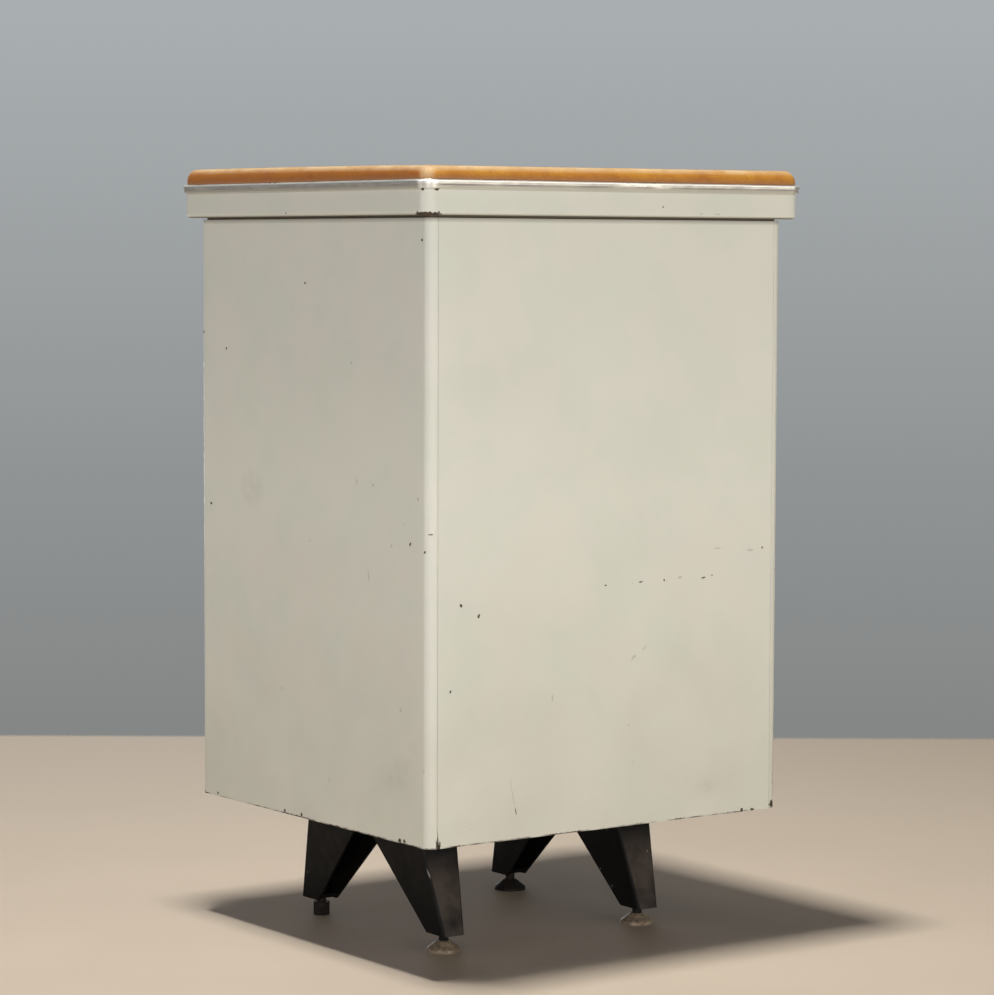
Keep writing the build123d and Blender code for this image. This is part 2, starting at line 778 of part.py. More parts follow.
def drawer_rail():
    """Right-hand channel on the tray's side that slides in its runner."""
    half = runner_height / 2 - sheet - runner_play
    y0 = rear_of_front + rail_inset
    y1 = tray_back - rail_inset
    tip = opening_side - rail_clear
    rail = block(tray_side, tip, y0, y1, runner_z - half, runner_z + half)
    return rail - block(
        tray_side + sheet, tip + sheet,
        y0 - sheet, y1 + sheet,
        runner_z - half + sheet, runner_z + half - sheet,
    )


def runner():
    """Right-hand runner: its web is welded to the stile's lip, its flanges hold the drawer rail."""
    y0 = runner_front
    y1 = runner_back
    half = runner_height / 2
    web = runner_web + sheet
    track = block(runner_web, web, y0, y1, runner_z - half, runner_z + half)
    for z in (runner_z - half, runner_z + half - sheet):
        track += block(web - runner_flange, web, rear_of_front + sheet, y1, z, z + sheet)
    return track


def runner_brackets():
    """Short tubes between the runners and the side walls."""
    low = runner_z - bracket_height / 2
    high = runner_z + bracket_height / 2
    brackets = []
    for y in (runner_front + bracket_inset, runner_back - bracket_inset):
        start = y - bracket_length / 2
        end = y + bracket_length / 2
        tube = block(runner_web + sheet, inner_side, start, end, low, high)
        tube -= block(
            runner_web + 2 * sheet, inner_side - sheet, start - sheet, end + sheet, low + sheet, high - sheet
        )
        brackets += both_sides(tube)
    return group(brackets)


def strip_places():
    """Centre lines of the shelf strips on each side wall."""
    return (rear_of_front + strip_inset, inner_back - strip_inset)


def shelf_strips():
    """Slotted channels on the side walls that the shelf clips hang in."""
    strips = []
    for y in strip_places():
        y0 = y - strip_width / 2
        y1 = y + strip_width / 2
        strip = block(strip_face, inner_side, y0, y1, strip_bottom, strip_top)
        strip -= block(
            strip_face + sheet, inner_side + sheet,
            y0 + sheet, y1 - sheet,
            strip_bottom - sheet, strip_top + sheet,
        )
        for number in range(slot_count):
            z = first_slot + number * slot_pitch
            strip -= block(
                strip_face - sheet, strip_face + 2 * sheet,
                y - slot_width / 2, y + slot_width / 2,
                z - slot_height / 2, z + slot_height / 2,
            )
        strips += both_sides(strip)
    return group(strips)


def shelf_clips():
    """Clips hooked in the strips, their tongues under the shelf."""
    low = shelf_bottom - clip_thickness
    clips = []
    for y in strip_places():
        y0 = y - clip_width / 2
        y1 = y + clip_width / 2
        clip = block(strip_face - clip_reach, strip_face + sheet + clip_hook, y0, y1, low, shelf_bottom)
        clip += block(strip_face - clip_thickness, strip_face, y0, y1, low - clip_back, low)
        clips += both_sides(clip)
    return group(clips)


def shelf():
    """Shelf with its edges turned down on to the clips."""
    half = strip_face - shelf_gap
    y0 = rear_of_front + shelf_setback
    y1 = inner_back - sheet - shelf_gap
    top = shelf_bottom + shelf_flange
    board = block(-half, half, y0, y1, shelf_bottom, top)
    return board - block(
        -half + sheet, half - sheet, y0 + sheet, y1 - sheet, shelf_bottom - sheet, top - sheet
    )


def cabinet():
    """Every node of the cabinet by name."""
    nodes = {
        "back_panel": back_panel(),
        "base_pan": base_pan(),
        "base_pan_edges": base_pan_edges(),
        "top_pan": top_pan(),
        "top_rail": channel_rail(drawer_opening_top, top_rail_height, front_depth),
        "middle_rail": middle_rail(),
        "bottom_rail": bottom_rail(),
        "lid_apron": lid_apron(),
        "lid_board": lid_board(),
        "lid_trim": lid_trim(),
        "lid_cover": lid_cover(),
        "lid_screws": lid_screws(),
        "leg_plate_left": leg_plate(-leg_x),
        "leg_plate_right": leg_plate(leg_x),
        "leg_bolts": leg_bolts(),
        "leg_nuts": leg_nuts(),
        "foot_plates": group(at_legs(foot_plate()).values()),
        "runner_brackets": runner_brackets(),
        "shelf_strips": shelf_strips(),
        "shelf_clips": shelf_clips(),
        "shelf": shelf(),
        "door_pins": door_pins(),
        "door_washer": door_washer(),
        "door_stops": door_stops(),
        "door_bumpers": door_bumpers(),
        "door_skin": door_skin(),
        "door_liner": door_liner(),
        "door_pull": door_pull_place() * pull(),
        "door_pull_rivets": door_pull_place() * pull_rivets(),
        "lock_case": lock_case(),
        "lock_nut": lock_nut(),
        "lock_barrel": lock_barrel(),
        "lock_cam": lock_cam(),
        "cam_screw": cam_screw(),
        "drawer_front": drawer_front(),
        "drawer_liner": front_liner(middle_rail_top + front_gap, drawer_opening_top - front_gap),
        "drawer_floor": drawer_floor(),
        "drawer_inner_front": drawer_end(rear_of_front, 1),
        "drawer_back": drawer_end(tray_back, -1),
        "drawer_pull": drawer_pull_place() * pull(),
        "drawer_pull_rivets": drawer_pull_place() * pull_rivets(),
    }
    pairs = {
        "side_panel": side_panel(),
        "runner": runner(),
        "drawer_side": drawer_side(),
        "drawer_rail": drawer_rail(),
    }
    for name, right in pairs.items():
        nodes[f"{name}_right"] = right
        nodes[f"{name}_left"] = mirror(right, about=Plane.YZ)
    for place, shape in at_legs(leg()).items():
        nodes[f"leg_{place}"] = shape
    screws = at_legs(foot_screw(glide_rim))
    screws[bare_foot] = at_legs(bare_foot_screw())[bare_foot]
    for place, shape in screws.items():
        nodes[f"foot_screw_{place}"] = shape
    for place, shape in at_legs(glide()).items():
        if place != bare_foot:
            nodes[f"glide_{place}"] = shape
    return nodes


os.makedirs("parts", exist_ok=True)
for node, shape in cabinet().items():
    export_step(shape, f"parts/{node}.step")
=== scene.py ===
import bpy
import bmesh
import json
import math
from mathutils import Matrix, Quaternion, Vector, noise

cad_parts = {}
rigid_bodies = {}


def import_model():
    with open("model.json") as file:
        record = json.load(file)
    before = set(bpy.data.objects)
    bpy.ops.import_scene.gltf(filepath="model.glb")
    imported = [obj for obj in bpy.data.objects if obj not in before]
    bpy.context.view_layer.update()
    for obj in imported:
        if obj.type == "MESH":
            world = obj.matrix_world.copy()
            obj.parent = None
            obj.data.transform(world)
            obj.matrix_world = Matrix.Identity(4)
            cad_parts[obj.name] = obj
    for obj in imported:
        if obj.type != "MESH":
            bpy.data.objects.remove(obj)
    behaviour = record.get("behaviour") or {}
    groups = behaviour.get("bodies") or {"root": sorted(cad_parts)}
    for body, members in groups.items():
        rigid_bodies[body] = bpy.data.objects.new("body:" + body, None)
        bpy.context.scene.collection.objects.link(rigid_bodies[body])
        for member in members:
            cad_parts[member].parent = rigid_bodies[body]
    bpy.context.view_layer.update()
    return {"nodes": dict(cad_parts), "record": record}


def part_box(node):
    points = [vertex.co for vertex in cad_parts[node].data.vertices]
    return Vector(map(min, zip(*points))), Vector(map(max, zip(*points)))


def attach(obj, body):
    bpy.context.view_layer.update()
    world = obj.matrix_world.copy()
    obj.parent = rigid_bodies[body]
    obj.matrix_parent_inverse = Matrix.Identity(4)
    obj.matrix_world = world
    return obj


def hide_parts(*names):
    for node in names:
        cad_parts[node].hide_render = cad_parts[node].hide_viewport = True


# start from an empty file, so that only the frame and what is made below is in it
for left in list(bpy.data.objects):
    bpy.data.objects.remove(left)

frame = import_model()
print("frame loaded:", len(frame["nodes"]), "nodes")


def linear(code, alpha=1.0):
    # sRGB hex to the linear colour that the nodes take
    parts = [int(code[i:i + 2], 16) / 255 for i in (1, 3, 5)]
    return tuple(c / 12.92 if c <= 0.04045 else ((c + 0.055) / 1.055) ** 2.4 for c in parts) + (alpha,)


def addNode(tree, kind, inputs=None, out=0, **settings):
    # adds a node with its settings, values and links, and gives back the output asked for
    node = tree.nodes.new("ShaderNode" + kind)
    for name, value in settings.items():
        setattr(node, name, value)
    for key, value in (inputs or {}).items():
        if isinstance(value, bpy.types.NodeSocket):
            tree.links.new(value, node.inputs[key])
        else:
            node.inputs[key].default_value = value
    return node.outputs[out] if node.outputs else node


def newFinish(name):
    # an empty material, its node tree and the object coordinates that its patterns are laid out in
    finish = bpy.data.materials.new(name)
    finish.use_nodes = True
    tree = finish.node_tree
    tree.nodes.clear()
    return finish, tree, addNode(tree, "TexCoord", out="Object")


def perMetre(mm):
    # object coordinates are in metres, so this scale makes one feature this many millimetres
    return 1000.0 / mm


def softPatches(tree, coords, mm, low=0.35, high=0.65, most=1.0, detail=3.0, stretch=(1, 1, 1)):
    # cloudy patches of about this size, as a mask from 0 to most
    placed = addNode(tree, "Mapping", {0: coords, "Scale": stretch})
    field = addNode(tree, "TexNoise", {"Vector": placed, "Scale": perMetre(mm), "Detail": detail})
    return addNode(tree, "MapRange", {0: field, 1: low, 2: high, 4: most})


def heightBand(tree, coords, low, high, soft, most=1.0, softAbove=None):
    # a mask between two heights in millimetres that fades over the soft distance
    z = addNode(tree, "SeparateXYZ", {0: coords}, out=2)
    rising = addNode(tree, "MapRange", {0: z, 1: (low - soft) / 1000, 2: low / 1000, 4: most})
    falling = addNode(tree, "MapRange", {0: z, 1: (high + (softAbove or soft)) / 1000, 2: high / 1000})
    return addNode(tree, "Math", {0: rising, 1: falling}, operation="MULTIPLY")


def roundSpot(tree, coords, place, reach, turn=(0, 0, 0)):
    # a mask that falls from 1 at a place to 0 as far from it as its reach along each axis, in millimetres
    local = addNode(tree, "Mapping", {
        0: coords, "Location": [mm / 1000 for mm in place], "Rotation": turn,
        "Scale": [mm / 1000 for mm in reach],
    }, vector_type="TEXTURE")
    return addNode(tree, "TexGradient", {0: local}, out=1, gradient_type="SPHERICAL")


# stoved enamel sprayed on folded sheet steel: half gloss, smooth with a little orange peel, the sheet behind
# it not quite flat. Age has mottled it, and knocks have chipped it down to dark steel.
# Sizes and heights are in millimetres, the depths of the relief and the shift of a ragged edge in metres. An
# edge is the pair of levels of a mask between which it is sharpened
enamel = {
    "cream": "#D8D6C5", "pinkish": "#DAD3C3", "greenish": "#CFD2BF", "dulled": "#C7C4B3", "scuff": "#A29E8D",
    # the grime colour is painted shade low on the body, and painted shade with some grime under the moulding
    "shadeAndGrime": "#9D9584", "jointDirtAndShade": "#544A39", "jointShade": "#6A6252", "bareSteel": "#2A241D",
    "rust": "#4C3A27",
    "roughness": 0.48, "smoother": 0.04, "rougher": 0.10, "bareRoughness": 0.85, "ior": 1.45,
    "tint": {"mm": 62, "low": 0.42, "high": 0.62}, "creamShare": 0.6,
    "dullPatches": {"mm": 150, "low": 0.35, "high": 0.75}, "mostDulled": 0.20,
    # painted shade low on the body: darker towards the bottom
    "lowShade": {"low": 120, "high": 150, "soft": 300, "most": 0.44},
    "lowShadePatches": {"mm": 75, "low": -0.8, "high": 0.8},
    # the band under the lid is painted shade under its overhang; the joint is dirt packed in it and painted
    # shade in its gap
    "underLid": {"low": 732.3, "high": 734.3, "soft": 5.0, "most": 0.75, "softAbove": 2.2},
    "joint": {"low": 732.3, "high": 734.3, "soft": 0.5},
    "mouldingFoot": {"low": 758.6, "high": 770, "soft": 0.7, "most": 0.6},
    "hem": {"low": 120, "high": 128.8, "soft": 0.6}, "hemPatches": {"mm": 26, "low": 0.40, "high": 0.60},
    "cornerPlace": (226.2, 219.2, 735.0), "cornerReach": (20, 20, 3.6), "cornerEdge": (0.22, 0.42),
    "cornerPatches": {"mm": 5, "low": 0.26, "high": 0.40},
    "rubPatches": {"mm": 12, "low": 0.2, "high": 0.7, "most": 0.42},
    "scuffPatches": {"mm": 7, "low": 0.2, "high": 0.6, "most": 0.65}, "rustSize": 5,
    "speckSpacing": 46, "speckEdge": (0.026, 0.014), "mostSpeck": 0.5, "cellsWithout": 0.90,
    "raggedSize": 2.4, "ragged": 0.0030, "chipDepth": 0.00012,
    "peelSize": 2.6, "peelDepth": 0.00003, "sheetWave": 190, "sheetDepth": 0.0004,
}

# knocks seen in the photograph: place along the face, height, half length and half width in millimetres, and
# tilt in degrees
chipsOnBack = {
    "shortDash": (6, 371, 1.7, 0.8, 0), "dash": (-38, 372, 2.6, 1.0, 0), "dot": (-68, 372, 0.9, 1.4, 0),
    "longDash": (-119, 372, 3.2, 1.0, -8), "dashEnd": (-130, 374, 0.9, 0.9, 0),
    "edgeDot": (-196, 399, 1.5, 1.0, 0), "cornerNick": (181, 361, 1.7, 2.1, -20),
    "cornerNickLow": (160, 350, 1.3, 2.7, 25), "sideNick": (193, 279, 1.2, 1.8, 15),
    "scratch": (115, 156, 0.8, 3.8, -12), "seamFoot": (205, 131, 0.9, 4.5, 4),
    "hemNickRight": (-172, 129.6, 2.0, 2.4, 0), "hemNick": (-186, 129, 3.4, 1.8, 0),
}
scuffsOnBack = {
    "paleDash": (-136, 401, 6.0, 1.2, 0), "paleDashLow": (-180, 397, 5.0, 1.2, 4),
    "rowGap": (-88, 374, 3.0, 1.4, 0), "slant": (-30, 297, 4.2, 1.4, -35),
    "slantHigh": (-44, 306, 4.2, 1.4, -38), "upright": (71, 264, 1.5, 3.8, 0),
    "scratchTail": (119, 174, 0.8, 14.5, -12), "rowStart": (-28, 371, 1.2, 0.9, 0),
    "lowDot": (168, 143, 1.2, 1.0, 0), "underRow": (-24, 229, 1.4, 1.3, 0),
    "underRowLow": (-30, 192, 1.2, 1.0, 0),
}
chipsOnSide = {
    "high": (-205, 615, 2.6, 1.8, 0), "frontEdge": (-190, 436, 2.2, 1.5, 0),
    "upper": (-159, 599, 1.5, 1.5, 0), "nearLid": (-7, 668, 1.8, 1.3, 0),
    "bendNick": (180, 420, 1.3, 2.2, -25), "bendDot": (204, 414, 1.5, 1.6, 0),
    "bendHigh": (199, 711, 1.6, 1.7, 0), "bendPair": (209, 431, 1.7, 0.9, 0),
    "bendPairNear": (213, 431, 1.2, 0.8, 0), "hemFront": (-207, 130, 4.0, 1.5, 0),
    "hemA": (-178, 131, 1.7, 1.6, 0), "hemB": (-46, 131, 2.3, 2.0, 0), "hemC": (-14, 131, 2.3, 2.0, 0),
    "hemD": (163, 130.5, 2.7, 2.4, 0), "hemE": (171, 131, 2.4, 2.0, 0),
}
scuffsOnSide = {
    "stroke": (108, 384, 1.6, 6.5, 10), "dot": (116, 473, 1.8, 1.8, 0),
    "faintStroke": (87, 475, 1.2, 3.5, 5), "middleDot": (1, 410, 1.9, 1.6, 0),
    "bendFaintLow": (148, 416, 1.6, 2.2, 20), "faintDot": (-83, 597, 1.4, 1.2, 0),
    "bendFaint": (170, 438, 1.2, 2.0, 0), "bendFaintHigh": (193, 464, 1.4, 2.2, 0),
    "lowDash": (37, 173, 1.6, 3.6, 0), "lowLeft": (-51, 256, 1.6, 2.8, 0),
    "lowRight": (164, 258, 2.2, 2.6, 25), "upperDot": (77, 591, 1.6, 1.4, 0),
    "bendLow": (203, 203, 1.4, 2.4, 0),
}
chipsOnFarWrap = {
    "hemCorner": (-203, 131, 8.5, 2.2, -10), "hemCornerHigh": (-212, 132.5, 3.0, 4.6, 0),
    "edge": (-216, 131, 3.0, 3.6, 0), "hemDot": (-192, 130, 1.3, 1.2, 0),
}
rubsOnSide = {"smudge": (-109, 457, 17.0, 15.0, 0), "low": (150, 190, 30.0, 14.0, 20)}
rubsOnBack = {"shoulderHighlightAndRub": (-125, 158, 14.0, 8.0, -8)}
# painted shade, no knock: the side panel's flange seen through the notch at the foot of the back seam is
# painted dark with the chips' bare steel
seamOpeningShade = {
    "wedge": (206, 134, 2.0, 10.0, 0), "wedgeFoot": (206, 129, 3.4, 2.0, 0),
    "edge": (209, 132, 0.7, 6.0, 0),
}
scuffsOnFarWrap = {
    "spotA": (-213, 163, 1.8, 2.2, 0), "spotB": (-214, 155, 1.4, 2.4, 0), "spotC": (-206, 171, 3.0, 2.2, 0),
    "dashEnd": (-215, 376, 3.5, 0.8, 0),
}
chipsOnApronBack = {
    "corner": (219, 758.4, 3.6, 1.2, -6), "cornerFoot": (216.5, 736.6, 1.2, 1.8, 0),
    "mark": (-53, 745, 0.9, 0.7, 0),
}
scuffsOnApronBack = {"stroke": (-122, 738, 5.5, 0.7, 4), "faint": (-102, 738, 2.4, 0.8, 0)}
chipsOnApronSide = {
    "corner": (217, 758.6, 2.2, 1.5, 8), "cornerFoot": (209.5, 736.6, 1.2, 1.8, 0),
    "dot": (-22, 737.5, 1.2, 1.0, 0),
}

# where the marks lie: their faces' distances from the middle and how deep the marks reach into the bends.
# A mask runs on past its mark by a factor, and the mark's edge lies between two levels of it
markPlace = {"backFace": 215, "sideFace": 222, "depth": 25, "past": 1.6, "edge": (0.34, 0.55)}


def knocks(tree, coords, marks, face, fading=False):
    # a mask of ellipses on the back or on the right side, with a firm edge or fading from their middles
    total = 0.0
    for along, height, halfLong, halfWide, tilt in marks.values():
        if face == "back":
            place, reach = (along, markPlace["backFace"], height), (halfLong, markPlace["depth"], halfWide)
            turn = (0, math.radians(-tilt), 0)
        else:
            place, reach = (markPlace["sideFace"], along, height), (markPlace["depth"], halfLong, halfWide)
            turn = (math.radians(tilt), 0, 0)
        spot = roundSpot(tree, coords, place, [half * markPlace["past"] for half in reach], turn)
        total = addNode(tree, "Math", {0: total, 1: spot}, operation="MAXIMUM")
    low, high = (0.0, 1.0) if fading else markPlace["edge"]
    return addNode(tree, "MapRange", {0: total, 1: low, 2: high})


def stovedEnamel(name, chips=(), scuffs=(), rubs=(), cornerWear=False):
    finish, tree, coords = newFinish(name)
    # the edges of a chip are ragged
    jitter = addNode(tree, "TexNoise", {
        "Vector": coords, "Scale": perMetre(enamel["raggedSize"]), "Detail": 2.0,
    }, out=1)
    jitter = addNode(tree, "VectorMath", {0: jitter, 1: (0.5, 0.5, 0.5)}, operation="SUBTRACT")
    jitter = addNode(tree, "VectorMath", {0: jitter, "Scale": enamel["ragged"]}, operation="SCALE")
    ragged = addNode(tree, "VectorMath", {0: coords, 1: jitter})

    # bare steel shows along the hem, in the chips and at the apron's worn corner; the dark along the hem is
    # partly painted shade of the turned-under bottom edge
    worn = heightBand(tree, ragged, **enamel["hem"])
    patches = softPatches(tree, coords, **enamel["hemPatches"])
    worn = addNode(tree, "Math", {0: worn, 1: patches}, operation="MULTIPLY")
    bare = [knocks(tree, ragged, marks, face) for marks, face in chips]
    if cornerWear:
        low, high = enamel["cornerEdge"]
        corner = roundSpot(tree, ragged, enamel["cornerPlace"], enamel["cornerReach"])
        corner = addNode(tree, "MapRange", {0: corner, 1: low, 2: high})
        patches = softPatches(tree, coords, **enamel["cornerPatches"])
        bare.append(addNode(tree, "Math", {0: corner, 1: patches}, operation="MULTIPLY"))
    # and in a few tiny specks, with none in most places
    low, high = enamel["speckEdge"]
    cells = addNode(tree, "TexVoronoi", {"Vector": ragged, "Scale": perMetre(enamel["speckSpacing"])})
    speck = addNode(tree, "MapRange", {0: cells, 1: low, 2: high, 4: enamel["mostSpeck"]})
    chance = addNode(tree, "SeparateColor", {0: cells.node.outputs["Color"]})
    chance = addNode(tree, "Math", {0: chance, 1: enamel["cellsWithout"]}, operation="GREATER_THAN")
    bare.append(addNode(tree, "Math", {0: speck, 1: chance}, operation="MULTIPLY"))
    for mask in bare:
        worn = addNode(tree, "Math", {0: worn, 1: mask}, operation="MAXIMUM")

    tint = softPatches(tree, coords, **enamel["tint"])
    colour = addNode(tree, "Mix", {
        0: tint, 6: linear(enamel["pinkish"]), 7: linear(enamel["greenish"]),
    }, out=2, data_type="RGBA")
    colour = addNode(tree, "Mix", {
        0: enamel["creamShare"], 6: colour, 7: linear(enamel["cream"]),
    }, out=2, data_type="RGBA")
    # what is laid over the paint's colour, dirt and painted shade among it, from the bottom layer up: a mask
    # and its colour
    dulled = softPatches(tree, coords, most=enamel["mostDulled"], **enamel["dullPatches"])
    layers = [(dulled, "dulled")]
    # painted shade: the paint is darker towards the lower edge, in patches
    dirt = heightBand(tree, coords, **enamel["lowShade"])
    patches = softPatches(tree, coords, **enamel["lowShadePatches"])
    layers.append((addNode(tree, "Math", {0: dirt, 1: patches}, operation="MULTIPLY"), "shadeAndGrime"))
    # the joint under the lid and the foot of the moulding are painted dark: painted shade, with dirt in the
    # joint and some grime at the moulding
    joint = heightBand(tree, coords, **enamel["joint"])
    # painted shade on the body's top under the lid's overhang
    layers.append((heightBand(tree, coords, **enamel["underLid"]), "jointShade"))
    # the joint's gap: dirt packed in it, and painted shade
    layers.append((joint, "jointDirtAndShade"))
    # painted shade with some grime: the apron's top is painted darker under the moulding's foot
    layers.append((heightBand(tree, coords, **enamel["mouldingFoot"]), "shadeAndGrime"))
    for marks, face in rubs:
        rubbed = knocks(tree, ragged, marks, face, fading=True)
        patches = softPatches(tree, coords, **enamel["rubPatches"])
        layers.append((addNode(tree, "Math", {0: rubbed, 1: patches}, operation="MULTIPLY"), "scuff"))
    for marks, face in scuffs:
        rubbed = knocks(tree, ragged, marks, face)
        patches = softPatches(tree, coords, **enamel["scuffPatches"])
        layers.append((addNode(tree, "Math", {0: rubbed, 1: patches}, operation="MULTIPLY"), "scuff"))
    for mask, shade in layers:
        colour = addNode(tree, "Mix", {0: mask, 6: colour, 7: linear(enamel[shade])}, out=2, data_type="RGBA")
    rust = softPatches(tree, coords, enamel["rustSize"])
    steel = addNode(tree, "Mix", {
        0: rust, 6: linear(enamel["bareSteel"]), 7: linear(enamel["rust"]),
    }, out=2, data_type="RGBA")
    colour = addNode(tree, "Mix", {0: worn, 6: colour, 7: steel}, out=2, data_type="RGBA")

    rough = enamel["roughness"]
    gloss = addNode(tree, "MapRange", {
        0: dulled, 2: enamel["mostDulled"], 3: rough - enamel["smoother"], 4: rough + enamel["rougher"],
    })
    matt = addNode(tree, "Math", {0: worn, 1: joint}, operation="MAXIMUM")
    gloss = addNode(tree, "Mix", {0: matt, 2: gloss, 3: enamel["bareRoughness"]})
    sheet = addNode(tree, "TexNoise", {
        "Vector": coords, "Scale": perMetre(enamel["sheetWave"]), "Detail": 0.0,
    })
    relief = addNode(tree, "Bump", {"Height": sheet, "Distance": enamel["sheetDepth"], "Strength": 1.0})
    peel = addNode(tree, "TexNoise", {
        "Vector": coords, "Scale": perMetre(enamel["peelSize"]), "Detail": 1.0,
    })
    relief = addNode(tree, "Bump", {
        "Height": peel, "Distance": enamel["peelDepth"], "Strength": 1.0, "Normal": relief,
    })
    relief = addNode(tree, "Bump", {
        "Height": worn, "Distance": enamel["chipDepth"], "Strength": 1.0, "Normal": relief,
    }, invert=True)
    paint = addNode(tree, "BsdfPrincipled", {
        "Base Color": colour, "Roughness": gloss, "IOR": enamel["ior"], "Normal": relief,
    })
    addNode(tree, "OutputMaterial", {0: paint})
    return finish


# stoved enamel again, black on the folded legs: satin, with floor dust lying on it, a painted brown sheen low
# on its back faces, and pale nicks in it. The levels of facing are of the surface's own normal, up for the
# dust and back for the painted sheen
legEnamel = {
    # the film colour is painted sheen on the faces that look to the back
    "black": "#040404", "faded": "#0A0907", "dust": "#6E5D4C", "paintedSheen": "#493F37", "nick": "#A39C90",
    "roughness": 0.50, "smoother": 0.05, "rougher": 0.14, "ior": 1.45, "gloss": 0.12, "fadedSize": 24,
    "dustPatches": {"mm": 14, "low": 0.3, "high": 0.8, "most": 0.06, "detail": 5.0},
    "dustFacing": (-0.4, 1.0), "leastDust": 0.1,
    "sheenBand": {"low": 0, "high": 70, "soft": 30}, "sheenPatches": {"mm": 20, "low": 0.2, "high": 0.6},
    "sheenFacing": (0.80, 0.97), "mostSheen": 0.75,
    "nickSpacing": 23, "nickEdge": (0.06, 0.035), "mostNick": 0.3,
    "streakPlace": (141.5, 100.6, 80.0), "streakReach": (6, 1.6, 13), "streakTilt": 22,
    "streakEdge": (0.5, 0.8), "mostStreak": 0.45, "peelSize": 2.2, "peelDepth": 0.00006,
}


def dustyLegEnamel():
    finish, tree, coords = newFinish("stovedEnamelBlack")
    faded = softPatches(tree, coords, legEnamel["fadedSize"])
    colour = addNode(tree, "Mix", {
        0: faded, 6: linear(legEnamel["black"]), 7: linear(legEnamel["faded"]),
    }, out=2, data_type="RGBA")
    facing = addNode(tree, "SeparateXYZ", {0: addNode(tree, "TexCoord", out="Normal")})
    low, high = legEnamel["dustFacing"]
    up = addNode(tree, "MapRange", {0: facing.node.outputs[2], 1: low, 2: high, 3: legEnamel["leastDust"]})
    dust = softPatches(tree, coords, **legEnamel["dustPatches"])
    dust = addNode(tree, "Math", {0: up, 1: dust}, operation="MULTIPLY")
    # painted sheen: low on the faces that look to the back the black is painted brown, standing in for the
    # floor's light on them
    low, high = legEnamel["sheenFacing"]
    paintedSheen = addNode(tree, "MapRange", {0: facing.node.outputs[1], 1: low, 2: high, 4: legEnamel["mostSheen"]})
    band = heightBand(tree, coords, **legEnamel["sheenBand"])
    for mask in (band, softPatches(tree, coords, **legEnamel["sheenPatches"])):
        paintedSheen = addNode(tree, "Math", {0: paintedSheen, 1: mask}, operation="MULTIPLY")
    low, high = legEnamel["nickEdge"]
    cells = addNode(tree, "TexVoronoi", {"Vector": coords, "Scale": perMetre(legEnamel["nickSpacing"])})
    nick = addNode(tree, "MapRange", {0: cells, 1: low, 2: high, 4: legEnamel["mostNick"]})
    # a pale streak down the fold of the rear right leg
    low, high = legEnamel["streakEdge"]
    turn = (math.radians(legEnamel["streakTilt"]), 0, 0)
    paleStreak = roundSpot(tree, coords, legEnamel["streakPlace"], legEnamel["streakReach"], turn)
    paleStreak = addNode(tree, "MapRange", {0: paleStreak, 1: low, 2: high, 4: legEnamel["mostStreak"]})
    for mask, shade in ((dust, "dust"), (paintedSheen, "paintedSheen"), (nick, "nick"), (paleStreak, "nick")):
        colour = addNode(tree, "Mix", {
            0: mask, 6: colour, 7: linear(legEnamel[shade]),
        }, out=2, data_type="RGBA")
    rough = legEnamel["roughness"]
    gloss = addNode(tree, "MapRange", {
        0: faded, 3: rough - legEnamel["smoother"], 4: rough + legEnamel["rougher"],
    })
    peel = addNode(tree, "TexNoise", {
        "Vector": coords, "Scale": perMetre(legEnamel["peelSize"]), "Detail": 2.0,
    })
    relief = addNode(tree, "Bump", {"Height": peel, "Distance": legEnamel["peelDepth"], "Strength": 1.0})
    paint = addNode(tree, "BsdfPrincipled", {
        "Base Color": colour, "Roughness": gloss, "IOR": legEnamel["ior"],
        "Specular IOR Level": legEnamel["gloss"], "Normal": relief,
    })
    addNode(tree, "OutputMaterial", {0: paint})
    return finish


# extruded aluminium, once polished and now dull: soft stretched reflections, dirt packed in the edging's
# groove, and a painted highlight along its upper lip. Places, heights and patches are in millimetres, the
# depth of the die lines in metres
aluminium = {
    # burnished is a painted highlight along the edging's upper lip
    "polished": "#CDC6BA", "dull": "#B0A99D", "paintedHighlight": "#FBF6EC", "dirt": "#9B9186",
    "soiledFoot": "#B0A896",
    "roughness": 0.32, "pullRoughness": 0.44, "smoother": 0.05, "rougher": 0.12, "patchSize": 22,
    "foot": {"low": 755, "high": 762.3, "soft": 0.2, "most": 0.9},
    "groove": {"low": 762.4, "high": 763.7, "soft": 0.3}, "lip": {"low": 766.4, "high": 770, "soft": 0.4},
    "groovePatches": {"mm": 40, "low": 0.25, "high": 0.6},
    "cornerPlace": (233.5, 226.0, 764.0), "cornerReach": 22, "cornerEdge": (0.1, 0.5), "cornerSoil": 0.25,
    "footFilm": 0.5, "soiledRoughness": 0.7, "soiledMetallic": 0.1,
    "dieLine": 0.9,     # the die's marks are finer, drawn at about a millimetre so that they show
    "dieStretch": (0.02, 0.02, 1.0), "dieDepth": 0.00004,
}


